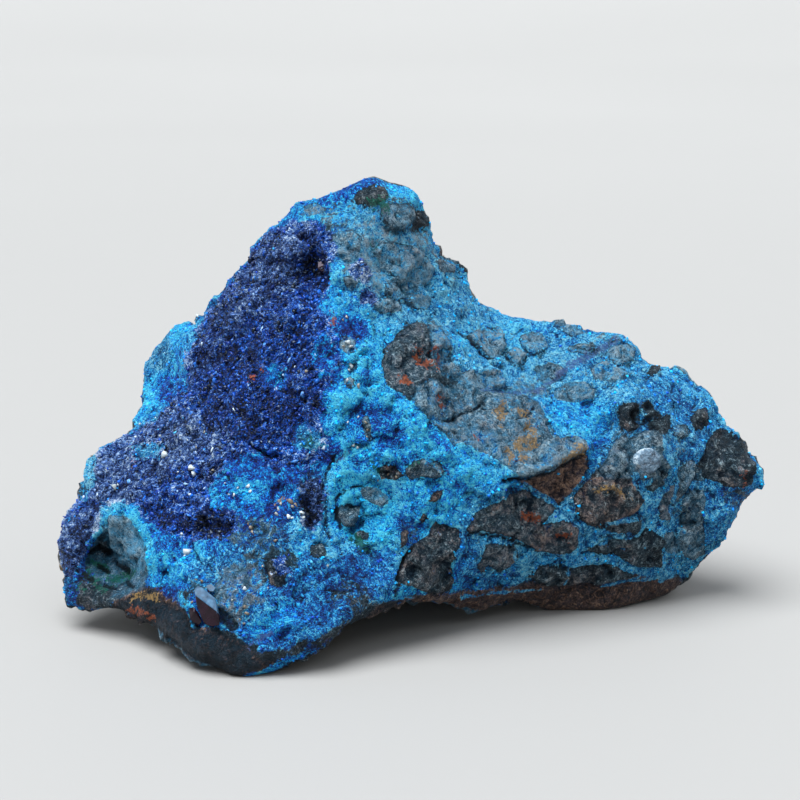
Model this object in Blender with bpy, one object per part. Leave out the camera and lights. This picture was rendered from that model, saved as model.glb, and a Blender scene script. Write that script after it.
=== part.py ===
"""A hand-sized lump of azurite in its host rock, broken from the vein, about 10 cm long.

It is one solid, grown as one piece: a tall crystal-covered mass with a peak on the left, a roof-shaped
arm of rock to the right, and a blunt foot at the front left. It stands on three small patches where
its underside touches the table. Units are metres and +Z is up. Landmarks are in millimetres.

The front and the outline were surveyed from one eye point. A surveyed landmark is (across, up, depth):
across and up are measured on an upright card that faces the eye through the lump's middle, and depth
is how far behind the card's foot line the point lies, along +Y. The back and the underside were
measured directly, as (x, y, z) above the table.
"""

import math

import bmesh
import bpy
from mathutils import Vector, noise
from mathutils.geometry import delaunay_2d_cdt

MM = 0.001

# Driving sizes, in millimetres.
EYE_DISTANCE = 240.0
EYE_TILT = math.radians(13.0)
EYE_AIM_HEIGHT = 31.1
FEET_CUT = 0.5  # how much of the three feet is worn flat
RIM_INSET = 1.4  # the broken rim is blunt: its two shoulders stand this far in
RIM_FRONT = 2.0  # and this far in front of the outline
RIM_BACK = 2.4  # and behind it
GRAIN = 1.0  # size of the smallest chips that the solid keeps
SWELL = 0.38  # makes good what blunting the edges takes away
CHIP_DEPTH = 0.45
CHIP_LENGTH = 7.0
CHIP_SHIFT = Vector((41.3, 7.9, 18.2))
FACETS = 8200  # triangles in the finished solid

NODE_NAME = "azurite_specimen"
AZURITE_BLUE = (0.020, 0.085, 0.330, 1.0)
AZURITE_ROUGHNESS = 0.62

# The outline, anticlockwise as the eye sees it, from the peak down the left side.
PEAK_TO_SHOULDER = (
    (-4.0, 32.0, 6), (-6.0, 31.4, 5), (-8.0, 30.2, 4), (-11.0, 29.4, 5), (-14.7, 27.7, 6), (-16.0, 26.0, 6),
    (-19.6, 23.0, 6), (-21.6, 20.3, 6), (-22.0, 18.6, 6), (-25.0, 16.0, 6), (-27.6, 13.0, 7),
)
BACK_LOBE_EDGE = (
    (-28.6, 11.2, 9), (-31.0, 11.0, 16), (-32.4, 10.0, 17), (-33.5, 8.1, 17), (-35.5, 6.6, 16),
    (-36.3, 4.7, 15), (-36.0, 3.0, 14), (-37.0, 1.3, 13), (-37.2, -0.6, 11),
)
LEFT_SHOULDER = (
    (-38.1, -2.5, 8), (-38.1, -4.6, 4), (-40.4, -6.1, 1), (-43.3, -7.0, 0), (-44.5, -8.1, 0),
    (-44.7, -11.0, -1), (-44.6, -14.0, -3),
)
LEFT_LOBE_EDGE = (
    (-47.4, -17.1, -5), (-48.9, -19.1, -6), (-49.0, -21.0, -7), (-47.7, -24.0, -8), (-47.7, -26.6, -9),
    (-47.2, -28.3, -10), (-46.0, -29.7, -11), (-44.0, -30.1, -12), (-41.7, -29.6, -13), (-40.0, -29.9, -15),
)
UNDERCUT_LEFT = (
    (-37.1, -31.9, -18), (-34.0, -33.4, -21), (-31.4, -35.1, -24), (-28.7, -37.1, -26), (-26.3, -37.6, -26),
)
FRONT_FOOT_EDGE = (
    (-24.6, -39.1, -27), (-22.0, -39.9, -27), (-20.3, -38.8, -27), (-17.1, -38.0, -27), (-14.0, -36.7, -27),
    (-10.6, -34.7, -26), (-8.9, -33.0, -25), (-6.9, -31.6, -23), (-4.3, -30.7, -21),
)
ARCH_EDGE = (
    (-2.4, -29.1, -20), (0.7, -28.6, -18), (4.3, -28.9, -15), (8.0, -29.6, -11), (11.4, -30.0, -8),
    (14.3, -29.1, -7), (17.1, -28.7, -5),
)
RIGHT_FOOT_EDGE = (
    (20.7, -29.9, -3), (25.0, -30.2, -2), (28.6, -30.1, -2), (31.7, -29.4, -1), (35.0, -28.6, 1),
    (38.3, -28.1, 2), (40.0, -27.1, 3),
)
UNDERCUT_RIGHT = (
    (40.3, -25.7, 4), (41.4, -24.0, 4), (43.0, -21.9, 4), (45.7, -20.7, 3), (46.7, -18.7, 2),
    (48.6, -15.3, 2), (50.3, -13.9, 3),
)
TIP_EDGE = (
    (51.8, -11.9, 4), (51.9, -10.3, 4), (50.3, -8.7, 5), (49.3, -6.9, 6), (48.3, -5.0, 7), (46.0, -4.0, 8),
    (45.0, -2.0, 9), (44.9, -0.3, 9), (43.7, 1.4, 10), (42.4, 2.0, 10), (40.9, 2.1, 10), (40.1, 4.3, 11),
)
ARM_SKYLINE = (
    (37.1, 5.0, 11), (34.3, 6.0, 11), (33.6, 8.1, 12), (31.0, 9.4, 12), (29.0, 9.0, 12), (27.0, 9.5, 12),
    (25.0, 10.9, 13), (20.7, 11.3, 13), (15.0, 11.7, 13), (12.9, 12.9, 13), (10.7, 15.1, 12),
)
SADDLE_TO_PEAK = (
    (8.9, 17.9, 11), (6.7, 19.7, 10), (5.3, 20.4, 9), (4.6, 22.9, 8), (3.4, 25.0, 8), (3.4, 26.9, 8),
    (2.3, 29.4, 8), (0.6, 30.4, 8), (-1.4, 30.9, 7),
)
OUTLINE = (
    PEAK_TO_SHOULDER + BACK_LOBE_EDGE + LEFT_SHOULDER + LEFT_LOBE_EDGE + UNDERCUT_LEFT + FRONT_FOOT_EDGE
    + ARCH_EDGE + RIGHT_FOOT_EDGE + UNDERCUT_RIGHT + TIP_EDGE + ARM_SKYLINE + SADDLE_TO_PEAK
)

# The front, surveyed from the eye.
CRYSTAL_FACE = (
    (-15.5, 25.0, 2), (-19.5, 19.5, 1), (-15.0, 22.0, -1), (-23.0, 14.5, 0), (-16.0, 13.0, -5),
    (-26.5, 8.0, 1), (-20.0, 7.0, -5), (-13.0, 7.0, -9), (-28.5, 4.0, 0), (-23.0, 1.0, -7),
    (-16.0, 0.0, -11), (-28.0, 11.0, 4), (-29.5, 8.0, 3), (-30.5, 5.0, 2), (-30.5, 2.0, 1),
    (-33.5, -1.0, 2), (-35.5, -3.0, 3), (-14.0, -7.0, -14), (-20.0, -7.0, -13), (-25.5, -7.0, -10),
    (-31.5, -7.0, -6), (-36.0, -6.5, -2.5), (-40.0, -7.5, -1.5), (-43.0, -9.5, -2),
)
CRYSTAL_PIT = ((-12.5, 18.0, 0.5), (-12.0, 21.5, 0), (-11.5, 15.5, -1.5), (-9.5, 20.5, -3), (-9.5, 16.5, -4.5))
BACK_LOBE = (
    (-31.5, 9.5, 14), (-33.5, 6.5, 13.5), (-35.0, 4.0, 12), (-32.0, 3.0, 11), (-35.0, 0.5, 10), (-32.5, 6.0, 13),
)
RIDGE = (
    (-8.0, 26.5, 1), (-9.5, 22.0, -2.5), (-9.0, 17.5, -5.5), (-10.5, 12.5, -7), (-8.5, 7.0, -10),
    (-6.5, 2.0, -12), (-1.5, 0.0, -13), (3.0, -4.5, -14), (8.5, -8.5, -14), (14.5, -11.2, -13),
    (16.5, -11.3, -12),
)
ROOF = (
    (-3.5, 28.5, 2), (0.5, 28.0, 4), (0.0, 25.0, 2), (-5.5, 23.0, -1), (-2.0, 21.5, 0.5), (3.0, 21.5, 4),
    (4.5, 19.5, 5), (0.0, 17.0, 0), (5.5, 16.5, 5), (-5.0, 16.5, -4), (-2.0, 13.0, -4), (3.0, 13.0, 1),
    (8.0, 14.5, 6), (11.5, 11.5, 9), (-2.0, 8.0, -8), (3.0, 8.0, -5), (7.0, 8.0, -1), (11.5, 8.0, 4),
    (17.0, 8.0, 8), (23.0, 8.0, 9), (28.5, 7.0, 9), (3.0, 3.0, -9), (8.5, 3.0, -4), (14.5, 2.0, 0),
    (20.5, 2.0, 3), (27.0, 2.0, 4), (33.0, 3.5, 6), (7.0, -3.0, -9), (13.0, -3.0, -6), (18.5, -3.0, -3),
    (24.5, -3.5, -1), (28.5, -3.0, 0),
)
LEDGE = (
    (17.5, -11.2, -12), (20.5, -10.2, -10), (23.5, -8.6, -8), (26.2, -7.3, -6), (11.5, -7.0, -11),
    (18.5, -7.0, -7.5), (23.0, -5.6, -4.5),
)
UNDER_LEDGE = (
    (17.0, -13.0, -9.5), (22.0, -12.5, -7), (24.3, -11.0, -6.5), (14.0, -14.5, -11), (11.5, -15.5, -13),
    (10.0, -18.0, -14), (15.5, -19.0, -12), (20.0, -17.0, -10), (24.5, -18.5, -8.5), (25.0, -16.5, -7.5),
)
END_FACE = (
    (28.0, -8.0, -3), (27.0, -11.0, -4), (30.0, -11.5, -6), (34.5, -14.5, -5.5), (27.0, -14.5, -7),
    (31.5, -0.5, -1.5), (35.0, -1.5, 0.5), (38.0, 3.0, 6), (41.5, 0.5, 7), (38.0, -3.0, 1), (43.0, -3.0, 5),
    (33.0, -5.5, -3), (35.0, -8.5, -5), (37.5, -7.0, -3.5), (38.5, -11.5, -2), (35.5, -13.5, -4),
    (44.5, -5.0, 5.5), (48.0, -6.0, 5.5), (43.5, -8.5, 1.5), (46.5, -13.0, 0), (49.5, -10.0, 2.5),
    (43.0, -14.5, 0), (48.0, -14.0, 1),
)
LOWER_FACE = (
    (40.0, -17.0, -1), (43.0, -20.0, 1), (37.0, -20.5, -3), (40.0, -24.0, 2), (36.5, -24.5, -1.5),
    (34.5, -17.0, -5), (30.0, -18.5, -6), (28.5, -23.0, -5), (34.5, -27.0, -0.5), (28.5, -27.0, -2.5),
    (23.0, -27.0, -4), (23.0, -23.0, -7), (18.5, -24.0, -8), (14.5, -25.5, -8), (13.5, -23.0, -12),
    (10.0, -23.0, -14), (11.5, -27.0, -10),
)
MIDDLE_HOLLOW = (
    (4.5, -11.5, -15), (1.5, -10.0, -15), (5.5, -14.5, -16), (3.0, -18.5, -17), (5.5, -23.0, -16),
    (8.0, -20.5, -15.5), (0.0, -23.0, -18.5), (3.0, -27.0, -17), (7.0, -26.5, -13),
)
RINGED_HOLLOW = (
    (-5.5, -10.0, -15.5), (-10.0, -14.5, -16.5), (-10.5, -17.0, -17), (-9.5, -21.5, -19), (-5.0, -13.0, -15),
    (-5.5, -16.5, -15.5), (-2.0, -13.5, -15), (-0.5, -17.0, -17), (-1.5, -21.5, -18), (-5.5, -20.5, -17.5),
)
FRONT_FOOT = (
    (-7.0, -27.0, -21.5), (-11.5, -26.0, -22), (-14.5, -28.5, -24), (-10.0, -31.5, -24.5),
    (-17.0, -33.0, -26.5), (-14.5, -35.0, -27), (-21.5, -35.5, -27.5), (-24.5, -34.5, -27),
    (-14.5, -13.0, -17), (-21.5, -13.0, -16), (-28.5, -13.0, -12), (-18.0, -18.5, -20), (-25.0, -18.5, -17),
    (-30.0, -18.0, -15), (-21.5, -25.0, -23), (-27.0, -24.5, -21), (-31.5, -23.0, -18),
    (-30.0, -28.5, -22.5), (-28.0, -27.0, -23), (-26.5, -30.5, -25), (-23.0, -28.5, -25), (-18.5, -27.0, -24.5),
)
LEFT_LOBE = (
    (-36.0, -13.0, -8), (-41.5, -13.0, -5), (-34.5, -18.5, -13), (-38.0, -16.5, -10.5), (-35.0, -23.5, -16),
    (-45.5, -18.5, -8), (-47.0, -21.5, -8.5), (-46.5, -25.5, -9.5), (-44.5, -28.0, -11), (-41.5, -28.5, -12.5),
)
CAVITY_RIM = (
    (-42.5, -18.0, -8), (-41.5, -16.0, -8), (-39.5, -16.5, -10), (-37.5, -18.5, -11.5), (-36.0, -22.0, -14),
    (-34.5, -26.0, -17), (-31.0, -29.5, -22), (-30.0, -32.0, -24.5),
)
CAVITY = (
    (-39.5, -19.5, -8), (-40.5, -21.0, -6), (-38.0, -23.0, -10), (-42.0, -24.5, -6.5), (-39.5, -26.5, -11),
    (-44.5, -23.0, -6), (-38.5, -29.0, -15), (-35.0, -30.5, -18), (-33.0, -28.5, -18), (-30.5, -33.5, -24),
)
FRONT = (
    CRYSTAL_FACE + CRYSTAL_PIT + BACK_LOBE + RIDGE + ROOF + LEDGE + UNDER_LEDGE + END_FACE + LOWER_FACE
    + MIDDLE_HOLLOW + RINGED_HOLLOW + FRONT_FOOT + LEFT_LOBE + CAVITY_RIM + CAVITY
)

# The back and the underside, measured directly.
BACK_OF_PEAK = (
    (-4, 16, 54), (-16, 14, 54), (-12, 20, 49), (2, 23, 42), (-10, 28, 40), (-22, 22, 40), (-30, 22, 33),
)
BACK_OF_MASS = (
    (-20, 30, 28), (-32, 23, 22), (-6, 34, 24), (-22, 30, 14), (-8, 33, 11), (8, 28, 31), (6, 30, 18),
    (6, 27, 7), (-33, 20, 10), (-38, 16, 12),
)
BACK_OF_ARM = (
    (14, 20, 38), (24, 20, 35), (36, 18, 30), (18, 26, 26), (30, 22, 22), (42, 14, 24), (18, 25, 13),
    (30, 20, 10), (40, 16, 15), (49, 9, 19), (46, 6, 14),
)
BACK_OF_LOBE = ((-40, 10, 20), (-44, 4, 14), (-42, -2, 7), (-36, 6, 6), (-36, -6, 5), (-30, 14, 5))
UNDERSIDE = (
    (-20, -22, -0.6), (-20, -17, -0.4), (-25, -12, 1.5), (-13, -16, 2.0), (-26, 0, 3.5), (-7, -12, 4.5),
    (-10, 0, 3.0),
    (-22, 10, 1.8), (-10, 12, 1.2), (10, -4, 3.5), (6, 6, 4), (14, 6, 3.5), (4, 18, 3), (16, 16, 4),
    (26, 14, 4), (38, 8, 5),
)
FEET = ((-18, 20, -0.8), (-6, 20, -0.8), (23, 3, -0.5), (29, 4, -0.8), (31, 10, 2))
HEELS = ((-24, 24, 4), (-8, 28, 3))
BACK = BACK_OF_PEAK + BACK_OF_MASS + BACK_OF_ARM + BACK_OF_LOBE + UNDERSIDE + FEET + HEELS

# The underside is seen nearly edge on from the eye, so its survey is spread out before it is joined up.
SPREAD_BELOW = -18.0
SPREAD = 3.2


def clear_scene():
    for thing in list(bpy.data.objects):
        bpy.data.objects.remove(thing, do_unlink=True)


def eye_position():
    return Vector((0, -EYE_DISTANCE * math.cos(EYE_TILT), EYE_AIM_HEIGHT + EYE_DISTANCE * math.sin(EYE_TILT)))


def card_axes():
    """The eye's line of sight and the card's upward direction."""
    along = Vector((0, math.cos(EYE_TILT), -math.sin(EYE_TILT)))
    upward = Vector((0, math.sin(EYE_TILT), math.cos(EYE_TILT)))
    return along, upward


def surveyed_point(across, up, depth):
    """Where the sight line through the card at (across, up) meets the upright plane y = depth."""
    along, upward = card_axes()
    ray = along + Vector((across / EYE_DISTANCE, 0, 0)) + upward * (up / EYE_DISTANCE)
    eye = eye_position()
    return eye + ray * ((depth - eye.y) / ray.y)


def place_on_card(point):
    """The card position that a measured point is seen behind."""
    along, upward = card_axes()
    seen = point - eye_position()
    reach = seen.dot(along)
    return Vector((EYE_DISTANCE * seen.x / reach, EYE_DISTANCE * seen.dot(upward) / reach))


def distance_to_outline(spot):
    """How far a card position lies from the nearest stretch of the outline."""
    corners = [Vector(landmark[:2]) for landmark in OUTLINE]
    nearest = math.inf
    for start, end in zip(corners, corners[1:] + corners[:1]):
        along = end - start
        share = max(0.0, min(1.0, (spot - start).dot(along) / along.length_squared))
        nearest = min(nearest, (spot - start - along * share).length)
    return nearest


def rim_shoulder(depth_step):
    """A ring of landmarks just inside the outline, which makes the rim blunt."""
    ring = []
    count = len(OUTLINE)
    for i in range(count):
        before = Vector(OUTLINE[i - 1][:2])
        after = Vector(OUTLINE[(i + 1) % count][:2])
        inward = Vector((before.y - after.y, after.x - before.x)).normalized()
        spot = Vector(OUTLINE[i][:2]) + inward * RIM_INSET
        if distance_to_outline(spot) > 0.8 * RIM_INSET:
            ring.append((spot.x, spot.y, OUTLINE[i][2] + depth_step))
    return ring


def spread_out(spot, spread):
    """Stretches the card below SPREAD_BELOW, so that triangles there join true neighbours."""
    if spot.y > SPREAD_BELOW:
        return spot
    return Vector((spot.x, SPREAD_BELOW + (spot.y - SPREAD_BELOW) * spread))


def joined_up(spots, spread):
    """Triangles that join card positions, the outline's first, inside the outline."""
    count = len(OUTLINE)
    edges = [(i, (i + 1) % count) for i in range(count)]
    flat = [spread_out(spot, spread) for spot in spots]
    result = delaunay_2d_cdt(flat, edges, [], 1, 1e-5)
    origin = [source[0] for source in result[3]]
    return [[origin[corner] for corner in face] for face in result[2]]


def lump_sheets():
    """One closed mesh: a front and a back sheet of landmarks that share the outline."""
    body = bmesh.new()
    outline = [surveyed_point(*landmark) for landmark in OUTLINE]
    outline_spots = [Vector(landmark[:2]) for landmark in OUTLINE]

    front = [tuple(landmark) for landmark in FRONT] + rim_shoulder(-RIM_FRONT)
    front_spots = outline_spots + [Vector(landmark[:2]) for landmark in front]
    front_points = outline + [surveyed_point(*landmark) for landmark in front]

    rim_behind = [surveyed_point(*landmark) for landmark in rim_shoulder(RIM_BACK)]
    back_points = outline + [Vector(point) for point in BACK] + rim_behind
    back_spots = [place_on_card(point) for point in back_points]

    corners = [body.verts.new(point) for point in outline]
    for points, spots, spread, facing in (
        (front_points, front_spots, 1.0, 1),
        (back_points, back_spots, SPREAD, -1),
    ):
        sheet = corners + [body.verts.new(point) for point in points[len(outline):]]
        for face in joined_up(spots, spread):
            body.faces.new([sheet[i] for i in face][::facing])
    loose = [corner for corner in body.verts if not corner.link_faces]
    bmesh.ops.delete(body, geom=loose, context="VERTS")
    return body


def temporary_object(body, name):
    mesh = bpy.data.meshes.new(name)
    body.to_mesh(mesh)
    body.free()
    thing = bpy.data.objects.new(name, mesh)
    bpy.context.collection.objects.link(thing)
    return thing


def with_modifiers_applied(thing):
    """Takes the object's evaluated shape as a new bmesh and removes the object."""
    graph = bpy.context.evaluated_depsgraph_get()
    body = bmesh.new()
    body.from_object(thing, graph)
    bpy.data.objects.remove(thing, do_unlink=True)
    return body


def grained(body):
    """Rebuilds the surface from even grains and takes the knife edges off."""
    thing = temporary_object(body, "grained lump")
    remesh = thing.modifiers.new("even grains", "REMESH")
    remesh.mode = "VOXEL"
    remesh.voxel_size = GRAIN
    soften = thing.modifiers.new("soften", "SMOOTH")
    soften.factor = 0.5
    soften.iterations = 1
    return with_modifiers_applied(thing)


def chip_surface(body):
    """Pushes the surface in and out by layered noise, like chipped rock."""
    body.normal_update()
    moves = []
    for corner in body.verts:
        place = corner.co / CHIP_LENGTH + CHIP_SHIFT
        height = noise.fractal(place, 1.0, 2.1, 3)
        moves.append(corner.normal * (SWELL + CHIP_DEPTH * max(-1.0, min(1.0, height))))
    for corner, move in zip(body.verts, moves):
        corner.co += move


def wear_feet_flat(body):
    """Cuts the lump off level at the height of its three feet."""
    bmesh.ops.bisect_plane(
        body,
        geom=body.verts[:] + body.edges[:] + body.faces[:],
        dist=1e-4,
        plane_co=(0, 0, FEET_CUT),
        plane_no=(0, 0, 1),
        clear_inner=True,
    )
    open_edges = [edge for edge in body.edges if edge.is_boundary]
    bmesh.ops.holes_fill(body, edges=open_edges, sides=0)
    bmesh.ops.triangulate(body, faces=body.faces[:])


def fewer_facets(body):
    """Merges small facets until about FACETS triangles are left."""
    ratio = FACETS / len(body.faces)
    thing = temporary_object(body, "faceted lump")
    merge = thing.modifiers.new("merge facets", "DECIMATE")
    merge.ratio = ratio
    merge.use_collapse_triangulate = True
    return with_modifiers_applied(thing)


def stand_on_origin(body):
    """Moves the lump so that the middle of its footprint is the origin and its feet are at z = 0."""
    for corner in body.verts:
        if abs(corner.co.z - FEET_CUT) < 0.05:
            corner.co.z = FEET_CUT
    low = Vector([min(corner.co[axis] for corner in body.verts) for axis in range(3)])
    high = Vector([max(corner.co[axis] for corner in body.verts) for axis in range(3)])
    middle = Vector(((low.x + high.x) / 2, (low.y + high.y) / 2, low.z))
    bmesh.ops.translate(body, verts=body.verts, vec=-middle)
    bmesh.ops.scale(body, verts=body.verts, vec=(MM, MM, MM))


def azurite_material():
    material = bpy.data.materials.new("azurite and host rock")
    material.use_nodes = True
    surface = material.node_tree.nodes["Principled BSDF"]
    surface.inputs["Base Color"].default_value = AZURITE_BLUE
    surface.inputs["Roughness"].default_value = AZURITE_ROUGHNESS
    surface.inputs["Metallic"].default_value = 0.0
    return material


def azurite_specimen():
    body = grained(lump_sheets())
    chip_surface(body)
    wear_feet_flat(body)
    body = fewer_facets(body)
    stand_on_origin(body)
    bmesh.ops.recalc_face_normals(body, faces=body.faces)
    mesh = bpy.data.meshes.new(NODE_NAME)
    body.to_mesh(mesh)
    body.free()
    mesh.materials.append(azurite_material())
    thing = bpy.data.objects.new(NODE_NAME, mesh)
    bpy.context.collection.objects.link(thing)
    return thing


clear_scene()
azurite_specimen()
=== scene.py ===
"""A hand specimen of azurite: a broken lump of dark rock with blue crystal crusts, on a pale table."""

import math

import bmesh
import bpy
import numpy as np
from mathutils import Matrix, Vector


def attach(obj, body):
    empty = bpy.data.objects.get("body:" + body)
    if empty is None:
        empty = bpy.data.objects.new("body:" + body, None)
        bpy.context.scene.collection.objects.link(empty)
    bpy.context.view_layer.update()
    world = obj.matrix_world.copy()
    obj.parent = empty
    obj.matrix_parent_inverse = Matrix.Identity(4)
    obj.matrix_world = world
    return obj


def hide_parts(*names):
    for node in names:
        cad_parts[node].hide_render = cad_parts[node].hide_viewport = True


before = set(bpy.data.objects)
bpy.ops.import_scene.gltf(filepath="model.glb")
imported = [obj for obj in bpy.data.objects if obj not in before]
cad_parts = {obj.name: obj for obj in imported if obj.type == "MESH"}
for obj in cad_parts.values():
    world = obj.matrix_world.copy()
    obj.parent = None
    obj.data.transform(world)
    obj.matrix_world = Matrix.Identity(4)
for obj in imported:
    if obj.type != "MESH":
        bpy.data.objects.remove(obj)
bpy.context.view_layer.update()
MM = 0.001


# ---------------------------------------------------------------------------------------------
# The eye and the survey card. The lump is looked at from a hand's reach away and a little above.
# Its front is surveyed through an upright card ruled in small squares, which the eye looks at
# squarely, so a place on the front is named by its card square: (squares across, squares down).

EYE = np.array((-2.43, -236.54, 84.59)) * MM
EYE_TILT = math.radians(13.0)  # how far the eye looks down
CARD_DISTANCE = 240.0 * MM
CARD_SQUARE = MM / 7
CARD_SIDE = 800  # in squares
FILM = 36.0  # in mm
NEAREST_SEEN, FARTHEST_SEEN = 0.01, 20.0  # in metres


def set_up_eye():
    """The camera, set so that the card just fills its frame."""
    lens = bpy.data.cameras.new("eye")
    lens.sensor_width = FILM
    lens.lens = FILM * CARD_DISTANCE / (CARD_SIDE * CARD_SQUARE)
    lens.clip_start = NEAREST_SEEN
    lens.clip_end = FARTHEST_SEEN
    camera = bpy.data.objects.new("eye", lens)
    camera.location = EYE
    camera.rotation_euler = (math.pi / 2 - EYE_TILT, 0.0, 0.0)
    bpy.context.scene.collection.objects.link(camera)
    bpy.context.scene.camera = camera


set_up_eye()


# ---------------------------------------------------------------------------------------------
# The rock. A lump of dark altered rock, shattered in the ground and healed with blue copper
# minerals, then broken off its vein. Its mesh is an even, finer skin over the lump's solid.

FIRST_GRAIN, FIRST_SOFTENING = 0.80 * MM, 3
GRAIN, SOFTENING = 0.47 * MM, 1
SAME_PLACE = 1e-6


def as_mesh(shape, name):
    """The finished mesh of a shape in the making."""
    mesh = bpy.data.meshes.new(name)
    shape.to_mesh(mesh)
    shape.free()
    return mesh


def put_out(name, mesh):
    """Stands a mesh in the scene where it is."""
    thing = bpy.data.objects.new(name, mesh)
    bpy.context.scene.collection.objects.link(thing)
    return thing


def even_grained(mesh, grain, soften):
    """Rebuilds a closed mesh from even squares and softens it a little."""
    thing = put_out("rough", mesh)
    remesh = thing.modifiers.new("even", "REMESH")
    remesh.mode = "VOXEL"
    remesh.voxel_size = grain
    smooth = thing.modifiers.new("soften", "SMOOTH")
    smooth.factor = 0.5
    smooth.iterations = soften
    graph = bpy.context.evaluated_depsgraph_get()
    mesh = bpy.data.meshes.new_from_object(thing.evaluated_get(graph))
    bpy.data.objects.remove(thing, do_unlink=True)
    return mesh


def rough_lump():
    """The solid's surface, rebuilt twice into finer and finer even squares."""
    body = bmesh.new()
    body.from_mesh(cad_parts["azurite_specimen"].data)
    bmesh.ops.remove_doubles(body, verts=body.verts, dist=SAME_PLACE)
    mesh = even_grained(as_mesh(body, "rough"), FIRST_GRAIN, FIRST_SOFTENING)
    return even_grained(mesh, GRAIN, SOFTENING)


def numbers_of(collection, name, width, kind=np.float32):
    """One value of every corner, edge or face, as rows of so many numbers."""
    flat = np.empty(len(collection) * width, kind)
    collection.foreach_get(name, flat)
    return flat.reshape(-1, width)


rock = rough_lump()
rock_points = numbers_of(rock.vertices, "co", 3).astype(float)
rock_facings = numbers_of(rock.vertex_normals, "vector", 3).astype(float)


# ---------------------------------------------------------------------------------------------
# The survey of the front. Corners that face the eye take their minerals from outlines on the
# card, and the rest of the lump carries on in the same minerals with a pattern of its own.

CARD_MIDDLE = CARD_SIDE / 2
LINE_OF_SIGHT = np.array((0.0, math.cos(EYE_TILT), -math.sin(EYE_TILT)))
CARD_UP = np.array((0.0, math.sin(EYE_TILT), math.cos(EYE_TILT)))
WAVER = 2.3  # how far an outline wavers, in card squares
WAVER_SIZE = 2.1 * MM
SIDE_ON, FACING_EYE = 0.0, 0.25  # the cosines between which the survey fades in

rock_edges = numbers_of(rock.edges, "vertices", 2, np.int32)
edge_count = np.bincount(rock_edges.ravel(), minlength=len(rock_points))


def card_places(points):
    """The card squares in front of points given in metres."""
    seen = points - EYE
    scale = CARD_DISTANCE / CARD_SQUARE / (seen @ LINE_OF_SIGHT)
    return np.column_stack((CARD_MIDDLE + seen[:, 0] * scale, CARD_MIDDLE - (seen @ CARD_UP) * scale))


def evened(values, rounds):
    """Each corner's value averaged with its neighbours', so many times over."""
    values = values.reshape(len(values), -1).copy()
    a, b = rock_edges.T
    for _ in range(rounds):
        for column in values.T:
            total = np.bincount(a, column[b], len(column)) + np.bincount(b, column[a], len(column))
            column[:] = (column + total / edge_count) / 2
    return values.squeeze()


def shuffled(cells, seed):
    """A fixed random number from 0 to 1 for each row of whole numbers. Large odd numbers mix the
    bits of the row with those of the seed."""
    x, y, z = (cells[:, axis].astype(np.uint64) for axis in range(3))
    h = x * np.uint64(73856093) ^ y * np.uint64(19349663) ^ z * np.uint64(83492791)
    h = (h ^ np.uint64(seed * 2654435761 % 2**32)) & np.uint64(0xFFFFFFFF)
    for _ in range(2):
        h = ((h ^ (h >> np.uint64(15))) * np.uint64(2246822519)) & np.uint64(0xFFFFFFFF)
        h = ((h ^ (h >> np.uint64(13))) * np.uint64(3266489917)) & np.uint64(0xFFFFFFFF)
    return (h & np.uint64(0xFFFFFF)).astype(float) / 0xFFFFFF


def waves(points, size, seed):
    """Smooth noise from -1 to 1 whose bumps are about size across."""
    spot = points / size + seed * 7.137
    cell = np.floor(spot).astype(np.int64)
    part = spot - cell
    part = part * part * (3 - 2 * part)
    total = np.zeros(len(points))
    for corner in np.ndindex(2, 2, 2):
        weight = np.prod(np.where(corner, part, 1 - part), axis=1)
        total += weight * shuffled(cell + corner, seed)
    return total * 2 - 1


def rough_waves(points, size, seed, layers):
    """Noise with finer and finer bumps, each layer half as high as the last."""
    total = np.zeros(len(points))
    for layer in range(layers):
        total += waves(points, size / 2**layer, seed + layer) / 2**layer
    return total / (2 - 2.0 ** (1 - layers))


def ease(low, high, value):
    """Goes smoothly from 0 at low to 1 at high."""
    share = np.clip((value - low) / (high - low), 0, 1)
    return share * share * (3 - 2 * share)


to_eye = EYE - rock_points
to_eye /= np.linalg.norm(to_eye, axis=1)[:, None]
even_facings = evened(rock_facings, 6)
even_facings /= np.linalg.norm(even_facings, axis=1)[:, None]
surveyed = ease(SIDE_ON, FACING_EYE, np.einsum("ij,ij->i", even_facings, to_eye))
spots = card_places(rock_points) + WAVER * np.column_stack(
    [rough_waves(rock_points, WAVER_SIZE, seed, 4) for seed in (91, 95)])


# ---------------------------------------------------------------------------------------------
# The blue crust and the stone under it. The crust lies thick in some places and hardly at all in
# others. Its blue runs from sky through royal blue to navy, and the stone from black to slate.

# Outlines that more than one table uses.
NAVY_SLOT = ((299, 484), (308, 474), (320, 478), (324, 496), (322, 520), (312, 532), (302, 526), (298, 505))
TEAL_GAP = ((294, 430), (306, 424), (318, 432), (321, 446), (311, 452), (298, 448))
RIDGE_GAP = ((314, 340), (328, 334), (336, 350), (334, 374), (322, 380), (316, 362))
BACK_LOBE_TOP = ((146, 345), (172, 338), (172, 366), (148, 374))
INDIGO_LOBE = (
    (56, 545), (68, 520), (92, 500), (104, 506), (100, 526), (86, 548), (78, 575), (74, 600), (62, 585))
LOBE_WALL = (
    (106, 519), (113, 515), (122, 516), (132, 525), (140, 540), (145, 556), (142, 566), (134, 566),
    (124, 556), (112, 546))

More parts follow.
